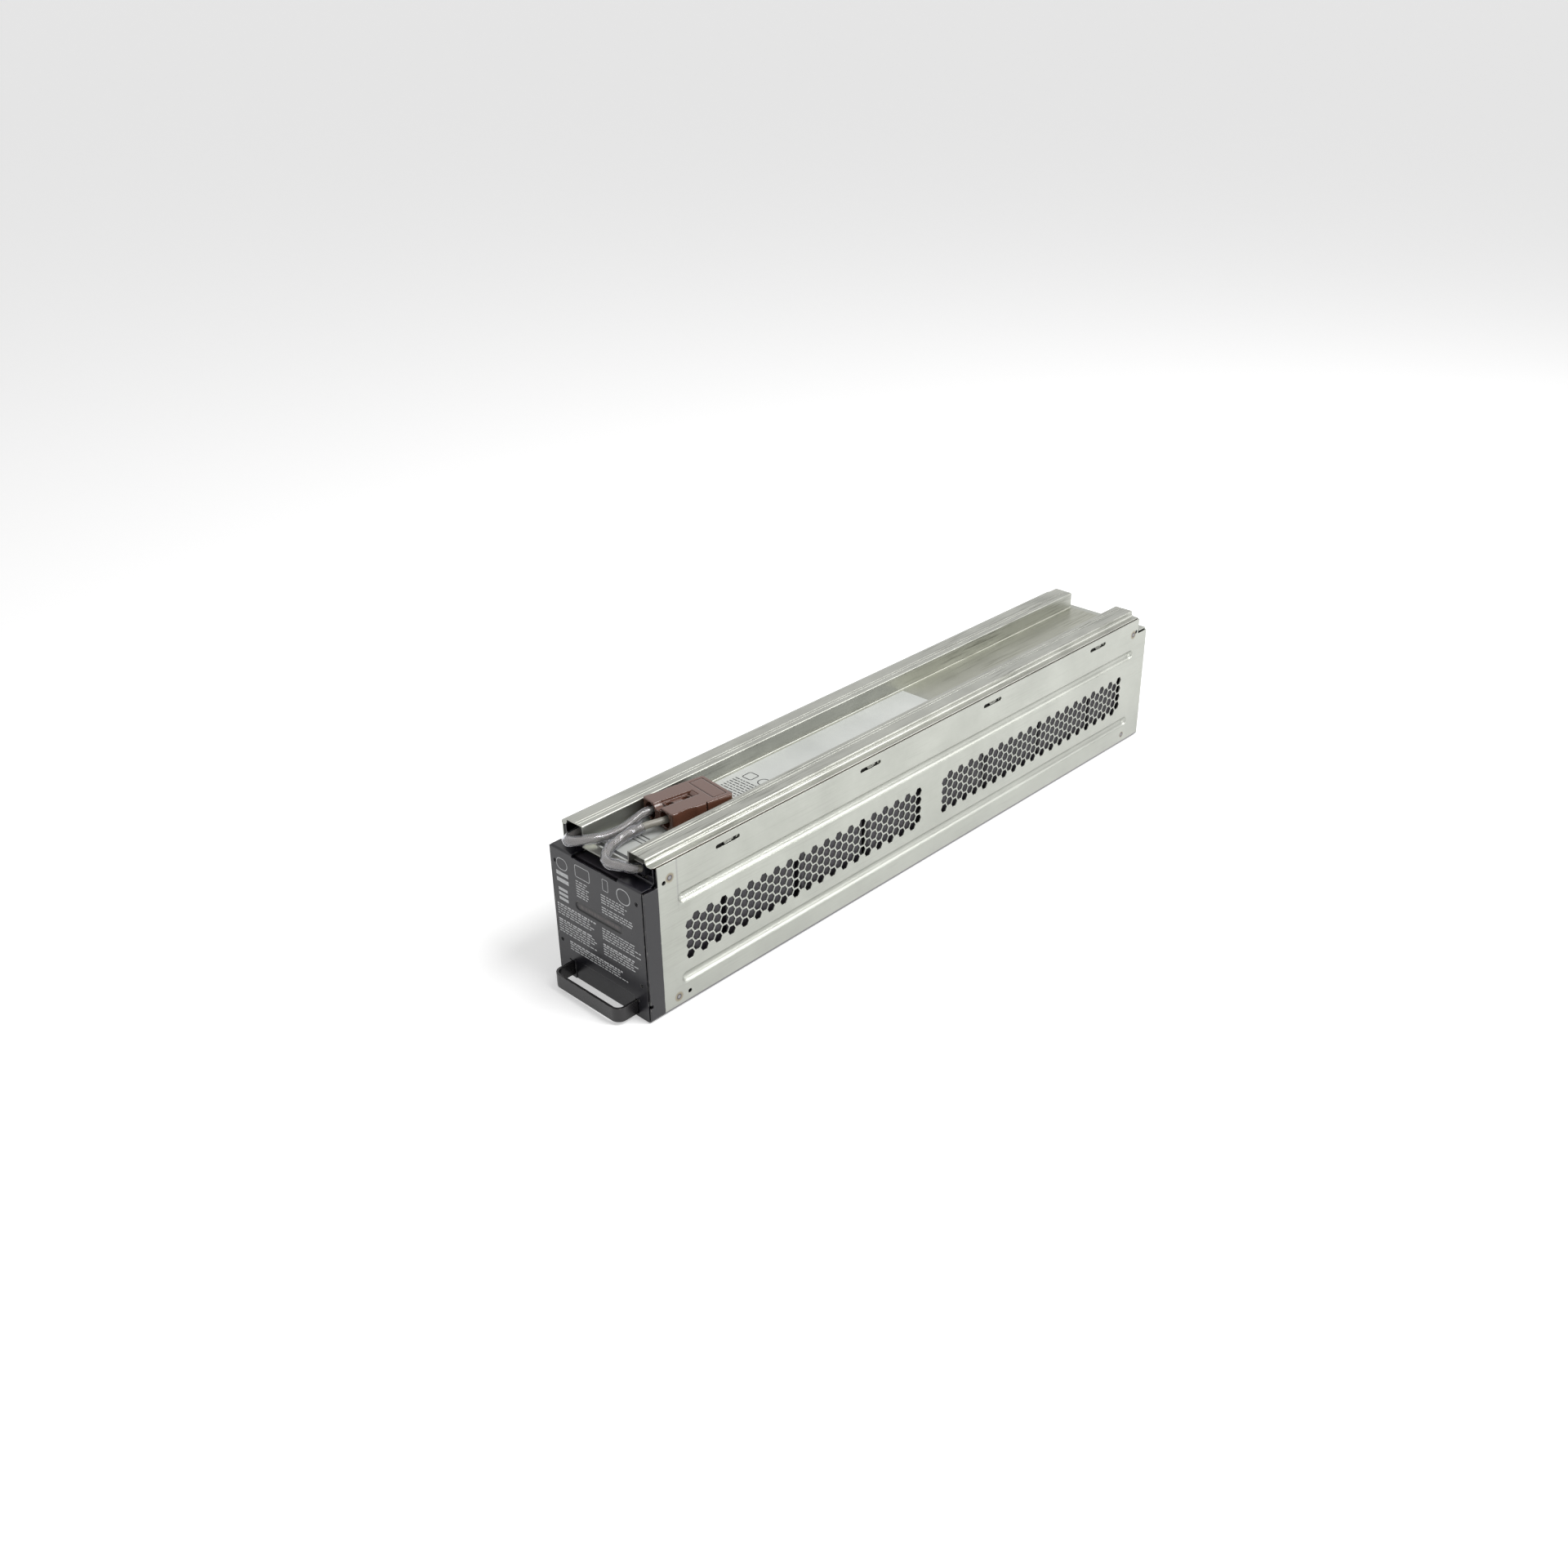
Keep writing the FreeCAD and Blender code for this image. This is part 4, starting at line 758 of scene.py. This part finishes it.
def crumpled_tube(name, spots, width, least, wall, around, depth, sharpness, seed, twist, pace):
    """A thin-walled tube along the spots, creased by seeded ridges that wind round it.

    Its outer radius never falls below the least, so that it stays clear of the cable in it.
    """
    build = bmesh.new()
    across = Vector((0, 0, 1)).cross(spots[0][1]).normalized()
    outer, inner = [], []
    for middle, run, s in spots:
        across = (across - run * across.dot(run)).normalized()
        upright = run.cross(across)
        ring_out, ring_in = [], []
        for i in range(around):
            turn = 2 * math.pi * i / around
            out = across * math.cos(turn) + upright * math.sin(turn)
            wound = turn + twist * s
            place = Vector((math.cos(wound), math.sin(wound), s * pace + seed))
            swell = noise.noise(place * 0.8)
            ridge = 1 - 2 * abs(noise.noise(place * 1.1 + Vector((7, 3, 1))))
            radius = max(width / 2 + depth * (swell + sharpness * (ridge - 0.6)), least)
            ring_out.append(build.verts.new(middle + out * radius))
            ring_in.append(build.verts.new(middle + out * (radius - wall)))
        outer.append(ring_out)
        inner.append(ring_in)
    for rings, flip in ((outer, False), (inner, True)):
        for a, b in zip(rings, rings[1:]):
            for i in range(around):
                j = (i + 1) % around
                corners = [a[i], a[j], b[j], b[i]]
                build.faces.new(corners[::-1] if flip else corners)
    for end in (0, -1):
        for i in range(around):
            j = (i + 1) % around
            build.faces.new([outer[end][i], outer[end][j], inner[end][j], inner[end][i]])
    tube = finished(build, name)
    for face in tube.data.polygons:
        face.use_smooth = True
    return tube


film = clear_film("clear_pvc_film")
sleeve_width = 0.0076
sleeve_wall = 0.0003
sleeve_step = 0.0008
sleeve_sides = 48
least_radius = cable_width / 2 + 0.0005
for side, start, end, depth, sharpness, seed, twist, pace in (
        ("left", 0.004, 0.130, 0.0008, 0.7, 3.0, 8.0, 34.0),
        ("right", 0.024, 0.0955, 0.0011, 1.2, 11.0, 90.0, 85.0)):
    cable, points = cables[side]
    bare = smooth_line(side + "_guide", points)
    spots = even_points(line_points(bare), start, end, sleeve_step)
    bpy.data.objects.remove(bare)
    sleeve = crumpled_tube(side + "_film_sleeve", spots, sleeve_width, least_radius, sleeve_wall,
                           sleeve_sides, depth, sharpness, seed, twist, pace)
    sleeve.data.materials.append(film)
    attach(sleeve, "root")
    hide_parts(side + "_sleeve")

# ---- Studio -------------------------------------------------------------------------------------
# A white floor, a white surround, a soft key lamp above, a second one above the right rear, and a
# small low lamp at the right rear that shines in through the vents.
def sweep_white(name):
    """White studio floor: matt, and lit up a little where the camera or a reflection sees it."""
    white, tree, _ = begin(name)
    path = add(tree, "ShaderNodeLightPath")
    seen = add(tree, "ShaderNodeMath", {0: path.outputs["Is Camera Ray"], 1: path.outputs["Is Glossy Ray"]},
               operation="MAXIMUM")
    glow = add(tree, "ShaderNodeMath", {0: seen, 1: 0.40}, operation="MULTIPLY")
    close(tree, add(tree, "ShaderNodeBsdfPrincipled", {"Base Color": linear("#eeeeee"), "Roughness": 0.9,
                                                       "Specular IOR Level": 0.1,
                                                       "Emission Color": linear("#ffffff"),
                                                       "Emission Strength": glow}))
    return white


floor_reach = 60.0
floor_gap = 0.0002
floor_mesh = bpy.data.meshes.new("studio_floor")
floor_corners = ((-1, -1), (1, -1), (1, 1), (-1, 1))
floor_mesh.from_pydata([(x * floor_reach, y * floor_reach, 0) for x, y in floor_corners], [],
                       [(0, 1, 2, 3)])
floor = placed("studio_floor", floor_mesh)
floor.location.z = cad_box[0][2] - floor_gap
floor_mesh.materials.append(sweep_white("studio_white"))

world = bpy.data.worlds.new("studio_air")
bpy.context.scene.world = world
world.use_nodes = True
air = world.node_tree
air.nodes.clear()
rays = add(air, "ShaderNodeLightPath")
seen = add(air, "ShaderNodeMath", {0: rays.outputs["Is Camera Ray"], 1: rays.outputs["Is Glossy Ray"]},
           operation="MAXIMUM")
seen = add(air, "ShaderNodeMath", {0: seen, 1: rays.outputs["Is Transmission Ray"]},
           operation="MAXIMUM")
level = add(air, "ShaderNodeMapRange", {"Value": seen, "To Min": 0.42, "To Max": 1.0})
glow = add(air, "ShaderNodeBackground", {"Color": linear("#ffffff"), "Strength": level})
add(air, "ShaderNodeOutputWorld", {"Surface": glow})


def lamp(name, place, target, size, power):
    """A rectangular area lamp, in watts, turned to its target."""
    light = bpy.data.lights.new(name, "AREA")
    light.shape = "RECTANGLE"
    light.size, light.size_y = size
    light.energy = power
    holder = placed(name, light)
    holder.location = place
    holder.rotation_euler = (Vector(target) - Vector(place)).to_track_quat("-Z", "Y").to_euler()


lamp("key_softbox", (0.9, 0.2, 1.6), (0.0, 0.0, 0.05), (0.8, 0.8), 24.0)
lamp("rear_softbox", (0.95, 0.90, 1.15), (0.0, 0.0, 0.08), (1.3, 0.6), 9.0)
lamp("low_side_lamp", (1.30, 0.62, 0.14), (0.0, 0.0, 0.06), (0.22, 0.16), 2.5)

# ---- Camera -------------------------------------------------------------------------------------
# The camera looks down on the front right corner. Its heading turns it from looking along Y, its
# tilt raises it from looking straight down, and its roll is small.
camera_data = bpy.data.cameras.new("camera")
camera_data.lens = 36.47
camera_data.sensor_width = 36.0
camera = placed("camera", camera_data)
heading = Matrix.Rotation(math.radians(44.480), 4, "Z")
tilt = Matrix.Rotation(math.radians(61.592), 4, "X")
roll = Matrix.Rotation(math.radians(-1.076), 4, "Z")
camera.matrix_world = Matrix.Translation((0.73584, -0.85608, 0.66476)) @ heading @ tilt @ roll
bpy.context.scene.camera = camera
bpy.context.scene.view_settings.view_transform = "Standard"
